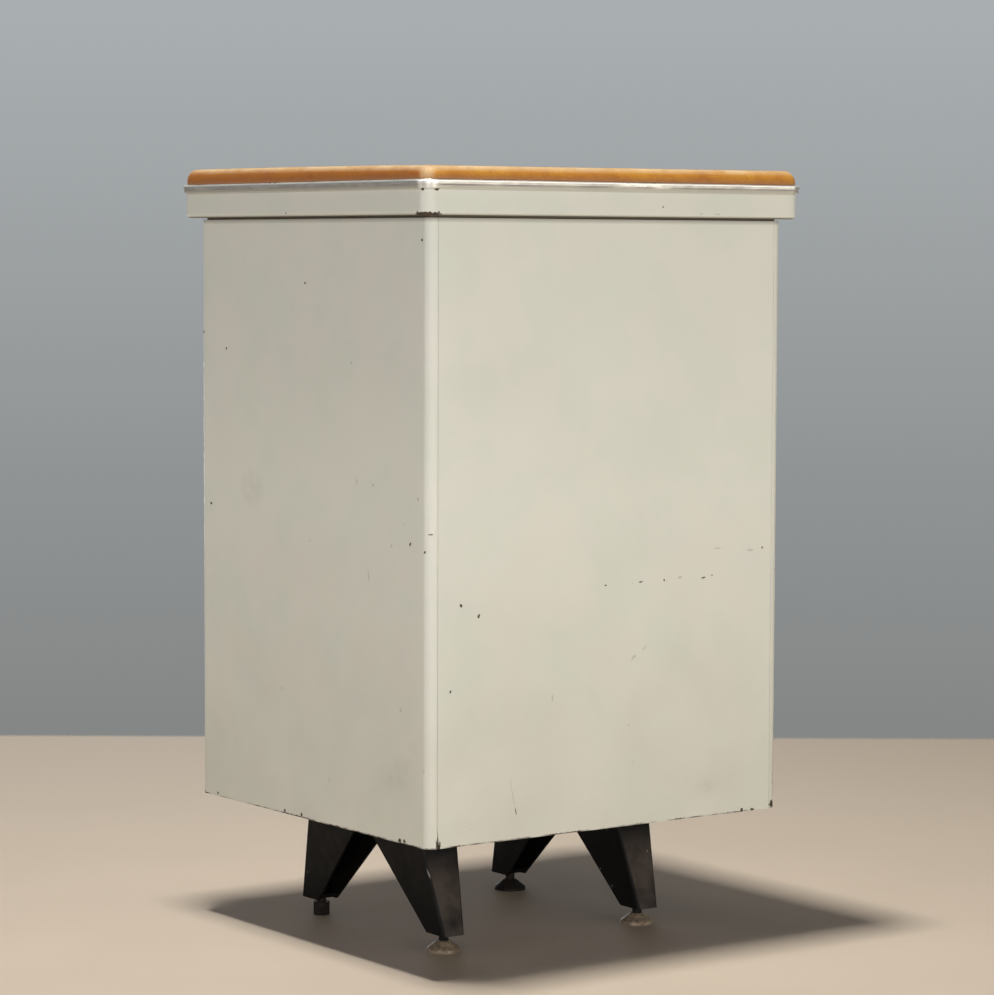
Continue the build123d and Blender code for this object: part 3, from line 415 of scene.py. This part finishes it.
def extrudedAluminium(name, grooved):
    finish, tree, coords = newFinish(name)
    dull = softPatches(tree, coords, aluminium["patchSize"], detail=4.0)
    colour = addNode(tree, "Mix", {
        0: dull, 6: linear(aluminium["polished"]), 7: linear(aluminium["dull"]),
    }, out=2, data_type="RGBA")
    rough = aluminium["roughness"] if grooved else aluminium["pullRoughness"]
    gloss = addNode(tree, "MapRange", {
        0: dull, 3: rough - aluminium["smoother"], 4: rough + aluminium["rougher"],
    })
    metallic = 1.0
    if grooved:
        # the lower bead is filmed over with dirt, so it no longer shines, and dirt lies in the groove
        foot = heightBand(tree, coords, **aluminium["foot"])
        groove = heightBand(tree, coords, **aluminium["groove"])
        patches = softPatches(tree, coords, **aluminium["groovePatches"])
        groove = addNode(tree, "Math", {0: groove, 1: patches}, operation="MULTIPLY")
        # passers-by have rubbed the rear right corner clean
        low, high = aluminium["cornerEdge"]
        corner = roundSpot(tree, coords, aluminium["cornerPlace"], [aluminium["cornerReach"]] * 3)
        soil = addNode(tree, "MapRange", {0: corner, 1: low, 2: high, 3: 1.0, 4: aluminium["cornerSoil"]})
        groove = addNode(tree, "Math", {0: groove, 1: soil}, operation="MULTIPLY")
        filmed = addNode(tree, "Math", {0: foot, 1: soil}, operation="MULTIPLY")
        filmed = addNode(tree, "Math", {0: filmed, 1: aluminium["footFilm"]}, operation="MULTIPLY")
        soiled = addNode(tree, "Math", {0: groove, 1: filmed}, operation="MAXIMUM")
        gloss = addNode(tree, "Mix", {0: soiled, 2: gloss, 3: aluminium["soiledRoughness"]})
        metallic = addNode(tree, "MapRange", {0: soiled, 3: 1.0, 4: aluminium["soiledMetallic"]})
        # painted highlight: the upper lip is painted bright
        lip = heightBand(tree, coords, **aluminium["lip"])
        for mask, shade in ((foot, "soiledFoot"), (groove, "dirt"), (lip, "paintedHighlight")):
            colour = addNode(tree, "Mix", {
                0: mask, 6: colour, 7: linear(aluminium[shade]),
            }, out=2, data_type="RGBA")
    lines = addNode(tree, "Mapping", {0: coords, "Scale": aluminium["dieStretch"]})
    lines = addNode(tree, "TexNoise", {
        "Vector": lines, "Scale": perMetre(aluminium["dieLine"]), "Detail": 1.0,
    })
    relief = addNode(tree, "Bump", {"Height": lines, "Distance": aluminium["dieDepth"], "Strength": 1.0})
    metal = addNode(tree, "BsdfPrincipled", {
        "Base Color": colour, "Metallic": metallic, "Roughness": gloss, "Normal": relief,
    })
    addNode(tree, "OutputMaterial", {0: metal})
    return finish


# waxed hide stretched over a thin pad: honey brown, with painted shade that makes it redder and darker
# towards the tuck, and pale along the upper edge with a painted highlight and some rubbing. A layer is the
# heights above the moulding where it starts and is full, and its strength
hide = {
    "honey": "#C3812F", "amber": "#D19334", "russet": "#9A4F1D", "tuck": "#5A2A12", "greyShade": "#98714E",
    # the rubbed colour is laid on as painted highlight: on the upward shoulder, with some rubbing, and at the
    # rear right corner
    "rubbed": "#EFD3A4",
    "paintedSideShade": "#9A541F",    # painted shade: the hide on the right-hand side is painted darker
    "roughness": 0.46, "smoother": 0.06, "rougher": 0.10, "ior": 1.48, "gloss": 0.28,
    "mottle": 46, "blotch": {"mm": 12, "low": 0.45, "high": 0.75, "most": 0.4, "detail": 4.0},
    "redShadeLayer": (7, 0, 0.5), "greyShadeLayer": (4.5, 0.5, 0.75), "tuckShadeLayer": (0.8, 0, 0.6),
    "sideDepth": (8, 2), "mostSideShade": 0.65,
    "shoulderFacing": (0.35, 0.85), "flatFacing": (0.998, 0.97), "mostShoulderHighlight": 0.8,
    "rubPatches": {"mm": 30, "low": 0.1, "high": 0.6},
    "cornerInset": (2, 2, 5), "cornerReach": 15, "cornerEdge": (0.15, 0.55), "mostCorner": 0.55,
    "grain": 1.9,    # real grain is finer, drawn this coarse so that it shows
    "creaseWidth": 0.14, "creaseShade": 0.2, "grainDepth": 0.00012, "slack": 16, "slackDepth": 0.0009,
}


def waxedHide():
    finish, tree, coords = newFinish("waxedHideTan")
    lowest, highest = (Vector(corner) * 1000 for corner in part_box("lid_cover"))
    mottle = softPatches(tree, coords, hide["mottle"], detail=4.0)
    colour = addNode(tree, "Mix", {
        0: mottle, 6: linear(hide["honey"]), 7: linear(hide["amber"]),
    }, out=2, data_type="RGBA")
    blotch = softPatches(tree, coords, **hide["blotch"])
    spot = addNode(tree, "SeparateXYZ", {0: coords})
    # painted shade along the moulding, where the hide curves under away from the light above: redder, then
    # greyer, and dark where it tucks in
    foot, dust, tuck = (
        addNode(tree, "MapRange", {
            0: spot.node.outputs[2], 1: (lowest.z + start) / 1000, 2: (lowest.z + full) / 1000, 4: most,
        }) for start, full, most in (hide["redShadeLayer"], hide["greyShadeLayer"], hide["tuckShadeLayer"]))
    # painted shade: the hide's right-hand side is painted darker
    start, full = hide["sideDepth"]
    paintedSideShade = addNode(tree, "MapRange", {
        0: spot, 1: (highest.x - start) / 1000, 2: (highest.x - full) / 1000, 4: hide["mostSideShade"],
    })
    # painted highlight where the shoulder faces up, partly rubbed pale by hands, but not on the flat top
    up = addNode(tree, "SeparateXYZ", {0: addNode(tree, "TexCoord", out="Normal")}, out=2)
    low, high = hide["shoulderFacing"]
    shoulderHighlightAndRub = addNode(tree, "MapRange", {0: up, 1: low, 2: high, 4: hide["mostShoulderHighlight"]})
    low, high = hide["flatFacing"]
    curved = addNode(tree, "MapRange", {0: up, 1: low, 2: high})
    for mask in (curved, softPatches(tree, coords, **hide["rubPatches"])):
        shoulderHighlightAndRub = addNode(tree, "Math", {0: shoulderHighlightAndRub, 1: mask}, operation="MULTIPLY")
    # painted highlight: the rear right corner is painted pale from its tuck to its shoulder
    low, high = hide["cornerEdge"]
    corner = roundSpot(tree, coords, highest - Vector(hide["cornerInset"]), [hide["cornerReach"]] * 3)
    corner = addNode(tree, "MapRange", {0: corner, 1: low, 2: high, 4: hide["mostCorner"]})
    # the grain is a net of fine creases, a little darker than the hide between them
    cells = addNode(tree, "TexVoronoi", {
        "Vector": coords, "Scale": perMetre(hide["grain"]),
    }, feature="DISTANCE_TO_EDGE")
    crease = addNode(tree, "MapRange", {0: cells, 1: hide["creaseWidth"], 2: 0.0})
    creased = addNode(tree, "Math", {0: crease, 1: hide["creaseShade"]}, operation="MULTIPLY")
    for mask, shade in (
        (blotch, "russet"), (foot, "russet"), (paintedSideShade, "paintedSideShade"), (dust, "greyShade"), (tuck, "tuck"),
        (shoulderHighlightAndRub, "rubbed"), (corner, "rubbed"), (creased, "tuck"),
    ):
        colour = addNode(tree, "Mix", {0: mask, 6: colour, 7: linear(hide[shade])}, out=2, data_type="RGBA")
    rough = hide["roughness"]
    gloss = addNode(tree, "MapRange", {0: mottle, 3: rough - hide["smoother"], 4: rough + hide["rougher"]})
    slack = addNode(tree, "TexNoise", {"Vector": coords, "Scale": perMetre(hide["slack"]), "Detail": 2.0})
    relief = addNode(tree, "Bump", {"Height": slack, "Distance": hide["slackDepth"], "Strength": 1.0})
    relief = addNode(tree, "Bump", {
        "Height": crease, "Distance": hide["grainDepth"], "Strength": 1.0, "Normal": relief,
    }, invert=True)
    leather = addNode(tree, "BsdfPrincipled", {
        "Base Color": colour, "Roughness": gloss, "IOR": hide["ior"], "Specular IOR Level": hide["gloss"],
        "Normal": relief,
    })
    addNode(tree, "OutputMaterial", {0: leather})
    return finish


# sawn blockboard, unfinished: glued softwood strips with a fine straight grain and a dry surface
blockboard = {
    "light": "#C9A877", "dark": "#A98354", "roughness": 0.72, "ior": 1.45, "grainDepth": 0.00015,
    "grain": {"mm": 1.6, "detail": 4.0, "stretch": (0.03, 1, 1)},
    "strips": {"mm": 26, "low": 0.45, "high": 0.55, "most": 0.4, "detail": 0.0, "stretch": (0.02, 1, 0.1)},
}


def sawnBlockboard():
    finish, tree, coords = newFinish("sawnBlockboard")
    grain = softPatches(tree, coords, **blockboard["grain"])
    colour = linear(blockboard["light"])
    for mask in (grain, softPatches(tree, coords, **blockboard["strips"])):
        colour = addNode(tree, "Mix", {
            0: mask, 6: colour, 7: linear(blockboard["dark"]),
        }, out=2, data_type="RGBA")
    relief = addNode(tree, "Bump", {"Height": grain, "Distance": blockboard["grainDepth"], "Strength": 1.0})
    wood = addNode(tree, "BsdfPrincipled", {
        "Base Color": colour, "Roughness": blockboard["roughness"], "IOR": blockboard["ior"],
        "Normal": relief,
    })
    addNode(tree, "OutputMaterial", {0: wood})
    return finish


# small parts: patch is the size of the patches in millimetres, relief the depth of the surface's grit in
# metres. The metals keep the shader's own IOR
smallParts = {
    # bright zinc plate on pressed steel, its spangle gone cloudy
    "zincPlate": {
        "fresh": "#B4B2AB", "worn": "#8B867A", "metallic": 1.0, "roughness": 0.38, "patch": 7,
        "relief": 0.00004,
    },
    # plated steel glides under trodden floor dust, so nearly matt and brown
    "dustyPlatedSteel": {
        "fresh": "#8A7860", "worn": "#5B4D3C", "metallic": 0.30, "roughness": 0.68, "patch": 5,
        "relief": 0.0001,
    },
    # the screws under the legs are caked in oily grime, so nearly black and matt; the front left glide takes
    # this finish too, as painted shade of the cabinet's shadow, partly grime
    "grimyAndShadedSteel": {
        "fresh": "#1B150F", "worn": "#110D09", "metallic": 0.0, "roughness": 0.75, "patch": 6,
        "relief": 0.0001, "ior": 1.45, "gloss": 0.15,
    },
    # nickel plate on the turned lock, warmer and smoother than the zinc
    "nickelPlate": {
        "fresh": "#C9C3B3", "worn": "#A69E8B", "metallic": 1.0, "roughness": 0.24, "patch": 9,
        "relief": 0.00002,
    },
    # moulded black rubber, matt with a fine bloom
    "mouldedRubber": {
        "fresh": "#1C1B1A", "worn": "#2A2826", "metallic": 0.0, "roughness": 0.80, "patch": 3,
        "relief": 0.00008, "ior": 1.52,
    },
    # moulded natural nylon, waxy and a little yellowed
    "mouldedNylon": {
        "fresh": "#D6D1C2", "worn": "#C2BAA6", "metallic": 0.0, "roughness": 0.48, "patch": 6,
        "relief": 0.00003, "ior": 1.53,
    },
}
smallPartWear = {"smoother": 0.05, "rougher": 0.12, "gritsPerPatch": 4}


def smallPartFinish(name):
    spec = smallParts[name]
    finish, tree, coords = newFinish(name)
    patches = softPatches(tree, coords, spec["patch"], detail=4.0)
    colour = addNode(tree, "Mix", {
        0: patches, 6: linear(spec["fresh"]), 7: linear(spec["worn"]),
    }, out=2, data_type="RGBA")
    rough = spec["roughness"]
    gloss = addNode(tree, "MapRange", {
        0: patches, 3: rough - smallPartWear["smoother"], 4: rough + smallPartWear["rougher"],
    })
    grit = addNode(tree, "TexNoise", {
        "Vector": coords, "Scale": perMetre(spec["patch"] / smallPartWear["gritsPerPatch"]), "Detail": 2.0,
    })
    relief = addNode(tree, "Bump", {"Height": grit, "Distance": spec["relief"], "Strength": 1.0})
    values = {"Base Color": colour, "Metallic": spec["metallic"], "Roughness": gloss, "Normal": relief}
    for key, socket in (("ior", "IOR"), ("gloss", "Specular IOR Level")):
        if key in spec:
            values[socket] = spec[key]
    addNode(tree, "OutputMaterial", {0: addNode(tree, "BsdfPrincipled", values)})
    return finish


finishOfSlot = {
    "cream_enamel": stovedEnamel("stovedEnamelCream"),
    "black_enamel": dustyLegEnamel(),
    "aluminium": extrudedAluminium("extrudedAluminiumPull", grooved=False),
    "tan_leather": waxedHide(),
    "blockboard": sawnBlockboard(),
    "zinc_steel": smallPartFinish("zincPlate"),
    "dusty_steel": smallPartFinish("dustyPlatedSteel"),
    "nickel": smallPartFinish("nickelPlate"),
    "rubber": smallPartFinish("mouldedRubber"),
    "nylon": smallPartFinish("mouldedNylon"),
}
finishOfNode = {
    "back_panel": stovedEnamel(
        "stovedEnamelBackPanel", [(chipsOnBack, "back")], [(scuffsOnBack, "back")], [(rubsOnBack, "back")]),
    "side_panel_right": stovedEnamel(
        "stovedEnamelRightSide", [(chipsOnSide, "right"), (seamOpeningShade, "back")], [(scuffsOnSide, "right")],
        [(rubsOnSide, "right")]),
    "side_panel_left": stovedEnamel(
        "stovedEnamelLeftSide", [(chipsOnFarWrap, "back")], [(scuffsOnFarWrap, "back")]),
    "lid_apron": stovedEnamel(
        "stovedEnamelApron", [(chipsOnApronBack, "back"), (chipsOnApronSide, "right")],
        [(scuffsOnApronBack, "back")], cornerWear=True),
    "lid_trim": extrudedAluminium("extrudedAluminiumEdging", grooved=True),
}
grimeAndShadeFinish = smallPartFinish("grimyAndShadedSteel")
# the screws for their grime, and the front left glide darkened as painted shade, partly grime
grimeAndShadeNodes = (
    "foot_screw_back_left", "foot_screw_back_right", "foot_screw_front_left", "foot_screw_front_right",
    "glide_front_left",
)
for name in grimeAndShadeNodes:
    finishOfNode[name] = grimeAndShadeFinish
for part in frame["record"]["subparts"]:
    slots = frame["nodes"][part["node"]].data.materials
    slots.clear()
    slots.append(finishOfNode.get(part["node"], finishOfSlot[part["material_slot"]]))


# the covered top: a thin pad under hide whose sides lean in to a soft shoulder, with the shoulder pulled down
# and tucked at the corners and the top a little crowned. The pad has gone flatter towards the rear right
# corner. In millimetres, heights above the moulding. A pitch is how fast the noise changes per millimetre
cover = {
    "tuck": 1.0, "side": ((0.4, 0.5), (0.1, 1.2), (0.0, 2.0)), "lean": 0.1,
    "shoulder": 9.2, "shoulderSteps": 12, "leastSide": 2.6, "shoulderTop": 0.3,
    "crown": 0.9, "crownFoot": 222, "crownReach": 216, "crownPower": 4, "fullerLeft": 1.8, "fullerFront": 3.0,
    "cornerRadius": 16.0, "leastRadius": 3.0, "cornerSteps": 22, "straightStep": 4.0,
    "arcMiddle": 0.293,     # how far in from a square corner its arc's middle lies, as a share of the radius
    "cornerPull": 0.4, "cornerTuck": 1.4, "pullReach": 12.0,
    "topRings": (15, 20, 28, 39, 55, 78, 105, 134, 164, 192, 210),
    "waviness": 0.28, "wavePitch": 0.045, "waveUpright": 3, "sag": 0.18, "sagPitch": 0.016, "sagLayer": 7,
    "pleatDepth": 0.6, "pleatWidth": 1.1, "pleats": ((3.5, 0.25), (12.0, 0.50)), "pleatTop": 11.0,
}


def coverRing(half, inset):
    # points round the cover at one inset from its edge, each with its outward direction and its distance from
    # a corner
    halfX, halfY = half.x - inset, half.y - inset
    radius = max(cover["cornerRadius"] - inset, cover["leastRadius"])
    sides = ((1, 1), (-1, 1), (-1, -1), (1, -1))
    corners = [Vector((sideX * (halfX - radius), sideY * (halfY - radius), 0)) for sideX, sideY in sides]
    ring = []
    for turn, corner in enumerate(corners):
        for step in range(cover["cornerSteps"] + 1):
            angle = math.radians(90 * (turn + step / cover["cornerSteps"]))
            outward = Vector((math.cos(angle), math.sin(angle), 0))
            ring.append((corner + radius * outward, outward))
        start, end = ring[-1][0], corners[(turn + 1) % 4] + radius * outward
        run = 2 * (half.y if turn % 2 else half.x) - 2 * cover["cornerRadius"]
        pieces = round(run / cover["straightStep"])
        ring += [(start.lerp(end, step / pieces), outward) for step in range(1, pieces)]
    back = cover["arcMiddle"] * radius
    apex = Vector((halfX - back, halfY - back, 0))
    return [(spot, outward, (Vector((abs(spot.x), abs(spot.y), 0)) - apex).length) for spot, outward in ring]


def pleatDepth(distance, height):
    # slanted tucks beside a corner that fade out towards the shoulder
    folds = 0.0
    for start, slant in cover["pleats"]:
        folds += math.exp(-((distance - start - slant * height) / cover["pleatWidth"]) ** 2)
    return cover["pleatDepth"] * folds * max(0.0, 1 - height / cover["pleatTop"])


def fullness(spot, half):
    # how much the pad still stands above its flattest corner
    left, front = (half.x - spot.x) / (2 * half.x), (half.y - spot.y) / (2 * half.y)
    return math.hypot(cover["fullerLeft"] * left, cover["fullerFront"] * front * (2 - front))


def makeCover():
    low, high = (Vector(corner) * 1000 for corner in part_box("lid_cover"))
    half = (high - low) / 2
    edge = high.z - low.z - cover["crown"]
    # from the tuck up the side, over the shoulder and across the top: inset, height, angle round the shoulder
    profile = [(cover["tuck"], 0.0, None)] + [(inset, height, None) for inset, height in cover["side"]]
    for step in range(cover["shoulderSteps"] + 1):
        profile.append((cover["lean"], edge, math.radians(90 * step / cover["shoulderSteps"])))
    for inset in cover["topRings"]:
        slope = ((cover["crownFoot"] - inset) / cover["crownReach"]) ** cover["crownPower"]
        profile.append((inset, edge + cover["crown"] * (1 - slope), None))
    mesh = bmesh.new()
    rings = []
    for inset, height, turn in profile:
        ring = []
        for spot, outward, distance in coverRing(half, inset):
            pull = math.exp(-(distance / cover["pullReach"]) ** 2)
            rise, back = height, 0.0
            if height >= edge:
                rise += fullness(spot, half)
            if turn is not None:
                shoulder = cover["shoulder"] * (1 + cover["cornerPull"] * pull)
                shoulder = min(shoulder, rise - cover["leastSide"])
                rise, back = rise - shoulder * (1 - math.sin(turn)), shoulder * (1 - math.cos(turn))
            back += cover["cornerTuck"] * pull
            if rise < edge - cover["shoulderTop"]:
                back += pleatDepth(distance, rise)
                place = Vector((spot.x, spot.y, rise * cover["waveUpright"]))
                back += cover["waviness"] * (0.5 + 0.5 * noise.noise(place * cover["wavePitch"]))
            else:
                place = Vector((spot.x, spot.y, cover["sagLayer"]))
                rise += min(0.0, cover["sag"] * noise.noise(place * cover["sagPitch"]))
            spot = spot - outward * back
            ring.append(mesh.verts.new(Vector((spot.x, spot.y, low.z + rise)) / 1000))
        rings.append(ring)
    for lower, upper in zip(rings, rings[1:]):
        for index in range(len(lower)):
            after = (index + 1) % len(lower)
            mesh.faces.new((lower[index], lower[after], upper[after], upper[index]))
    mesh.faces.new(rings[-1])
    mesh.faces.new(list(reversed(rings[0])))
    bmesh.ops.recalc_face_normals(mesh, faces=mesh.faces)
    for face in mesh.faces:
        face.smooth = len(face.verts) == 4
    data = bpy.data.meshes.new("hideCover")
    mesh.to_mesh(data)
    mesh.free()
    piece = bpy.data.objects.new("hideCover", data)
    bpy.context.scene.collection.objects.link(piece)
    data.materials.append(finishOfSlot["tan_leather"])
    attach(piece, "cabinet")
    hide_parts("lid_cover")


makeCover()
print("covered top made")


# a plain studio: pale floor, grey wall as the world's colour, one lamp above and soft boxes round the object.
# Places and sizes are in metres, but the lens, the sensor and the floor's patches in millimetres. A rise is
# how steeply a line of sight climbs
studio = {
    "wallHigh": "#A9AEB0", "wallMiddle": "#8F9293", "wallLow": "#858786",
    "highRise": 0.07, "middleRise": -0.075, "lowRise": -0.14, "ambient": "#F3EFE8", "ambientStrength": 0.04,
    "floor": "#D6C6B4", "floorFar": "#C0B1A0", "floorPatch": "#C0B19F", "floorRoughness": 0.85,
    "floorGloss": 0.2, "floorPatches": {"mm": 260, "most": 0.18}, "floorRadius": 2.4, "floorSteps": 96,
    "farFrom": -0.2, "floorEnd": 1.32, "floorEndSoft": 0.012,
}
view = {
    "place": (2.0148, 2.8133, 0.7009), "azimuth": 144.21, "down": 4.23, "roll": 0.2,
    "lens": 120.71, "sensor": 36.0,
}
lamps = {
    "overheadLamp": {
        "place": (0.38, 0.0, 4.5), "aim": (0, 0, 0), "size": (0.4, 0.4),
        "watts": 160, "colour": "#FFFDF8",
    },
    "softboxBack": {
        "place": (-0.32, 4.58, 0.20), "aim": (0, 0, 0.42), "size": (2.4, 0.38),
        "watts": 86, "colour": "#F9FAFE",
    },
    "softboxSide": {
        "place": (4.58, -0.40, 0.20), "aim": (0, 0, 0.42), "size": (2.4, 0.38),
        "watts": 56, "colour": "#F0F3FE",
    },
    "softboxNear": {
        "place": (2.95, 3.45, 0.20), "aim": (0, 0, 0.42), "size": (3.0, 0.38),
        "watts": 75, "colour": "#F4F6FE",
    },
    "softboxLow": {
        "place": (-2.7, 3.7, 0.5), "aim": (0, 0, 0.42), "size": (2.2, 1.0),
        "watts": 16, "colour": "#FFFBF2",
    },
    "softboxFront": {
        "place": (-2.0, -4.0, 0.20), "aim": (0, 0, 0.42), "size": (2.8, 0.38),
        "watts": 90, "colour": "#F9FAFE",
    },
}


def makeFloor():
    mesh = bmesh.new()
    bmesh.ops.create_circle(mesh, cap_ends=True, segments=studio["floorSteps"], radius=studio["floorRadius"])
    data = bpy.data.meshes.new("studioFloor")
    mesh.to_mesh(data)
    mesh.free()
    floor = bpy.data.objects.new("studioFloor", data)
    bpy.context.scene.collection.objects.link(floor)
    # painted concrete, matt: it is painted a little darker away from the camera, as painted shade, and ends
    # where the wall starts
    finish, tree, coords = newFinish("paintedFloor")
    turn = math.radians(view["azimuth"])
    away = (-math.sin(turn), math.cos(turn), 0)
    depth = addNode(tree, "VectorMath", {0: coords, 1: away}, out="Value", operation="DOT_PRODUCT")
    end, soft = studio["floorEnd"], studio["floorEndSoft"]
    far = addNode(tree, "MapRange", {0: depth, 1: studio["farFrom"], 2: end})
    colour = addNode(tree, "Mix", {
        0: far, 6: linear(studio["floor"]), 7: linear(studio["floorFar"]),
    }, out=2, data_type="RGBA")
    patches = softPatches(tree, coords, **studio["floorPatches"])
    colour = addNode(tree, "Mix", {
        0: patches, 6: colour, 7: linear(studio["floorPatch"]),
    }, out=2, data_type="RGBA")
    matt = addNode(tree, "BsdfPrincipled", {
        "Base Color": colour, "Roughness": studio["floorRoughness"],
        "Specular IOR Level": studio["floorGloss"],
    })
    ends = addNode(tree, "MapRange", {0: depth, 1: end - soft, 2: end + soft})
    surface = addNode(tree, "MixShader", {0: ends, 1: matt, 2: addNode(tree, "BsdfTransparent")})
    addNode(tree, "OutputMaterial", {0: surface})
    data.materials.append(finish)


def makeWorld():
    # the wall is what the camera and the reflections see, while the room's own light is a faint even one
    world = bpy.data.worlds.new("studio")
    bpy.context.scene.world = world
    world.use_nodes = True
    tree = world.node_tree
    tree.nodes.clear()
    rise = addNode(tree, "SeparateXYZ", {0: addNode(tree, "TexCoord", out="Generated")}, out=2)
    lower = addNode(tree, "MapRange", {0: rise, 1: studio["lowRise"], 2: studio["middleRise"]})
    upper = addNode(tree, "MapRange", {0: rise, 1: studio["middleRise"], 2: studio["highRise"]})
    # the wall is painted darker towards its foot: painted shade
    wall = linear(studio["wallLow"])
    for mask, shade in ((lower, "wallMiddle"), (upper, "wallHigh")):
        wall = addNode(tree, "Mix", {0: mask, 6: wall, 7: linear(studio[shade])}, out=2, data_type="RGBA")
    seen = 0.0
    for kind in ("Is Camera Ray", "Is Glossy Ray", "Is Transmission Ray"):
        seen = addNode(tree, "Math", {0: seen, 1: addNode(tree, "LightPath", out=kind)}, operation="MAXIMUM")
    ambient = addNode(tree, "Background", {0: linear(studio["ambient"]), 1: studio["ambientStrength"]})
    shown = addNode(tree, "Background", {0: wall, 1: 1.0})
    addNode(tree, "OutputWorld", {0: addNode(tree, "MixShader", {0: seen, 1: ambient, 2: shown})})


def makeLamps():
    for name, lamp in lamps.items():
        data = bpy.data.lights.new(name, "AREA")
        data.shape = "RECTANGLE"
        data.size, data.size_y = lamp["size"]
        data.energy = lamp["watts"]
        data.color = linear(lamp["colour"])[:3]
        light = bpy.data.objects.new(name, data)
        bpy.context.scene.collection.objects.link(light)
        light.location = lamp["place"]
        light.rotation_mode = "QUATERNION"
        light.rotation_quaternion = (Vector(lamp["aim"]) - Vector(lamp["place"])).to_track_quat("-Z", "Y")
        light.visible_camera = False


def makeCamera():
    data = bpy.data.cameras.new("photoCamera")
    data.lens = view["lens"]
    data.sensor_width = view["sensor"]
    camera = bpy.data.objects.new("photoCamera", data)
    bpy.context.scene.collection.objects.link(camera)
    turn, down = math.radians(view["azimuth"]), math.radians(view["down"])
    ahead = Vector((-math.sin(turn) * math.cos(down), math.cos(turn) * math.cos(down), -math.sin(down)))
    camera.location = view["place"]
    camera.rotation_mode = "QUATERNION"
    roll = Quaternion((0, 0, 1), math.radians(view["roll"]))
    camera.rotation_quaternion = ahead.to_track_quat("-Z", "Y") @ roll
    bpy.context.scene.camera = camera


makeFloor()
makeWorld()
makeLamps()
makeCamera()
bpy.context.scene.view_settings.view_transform = "Standard"
print("room, lamps and camera made")
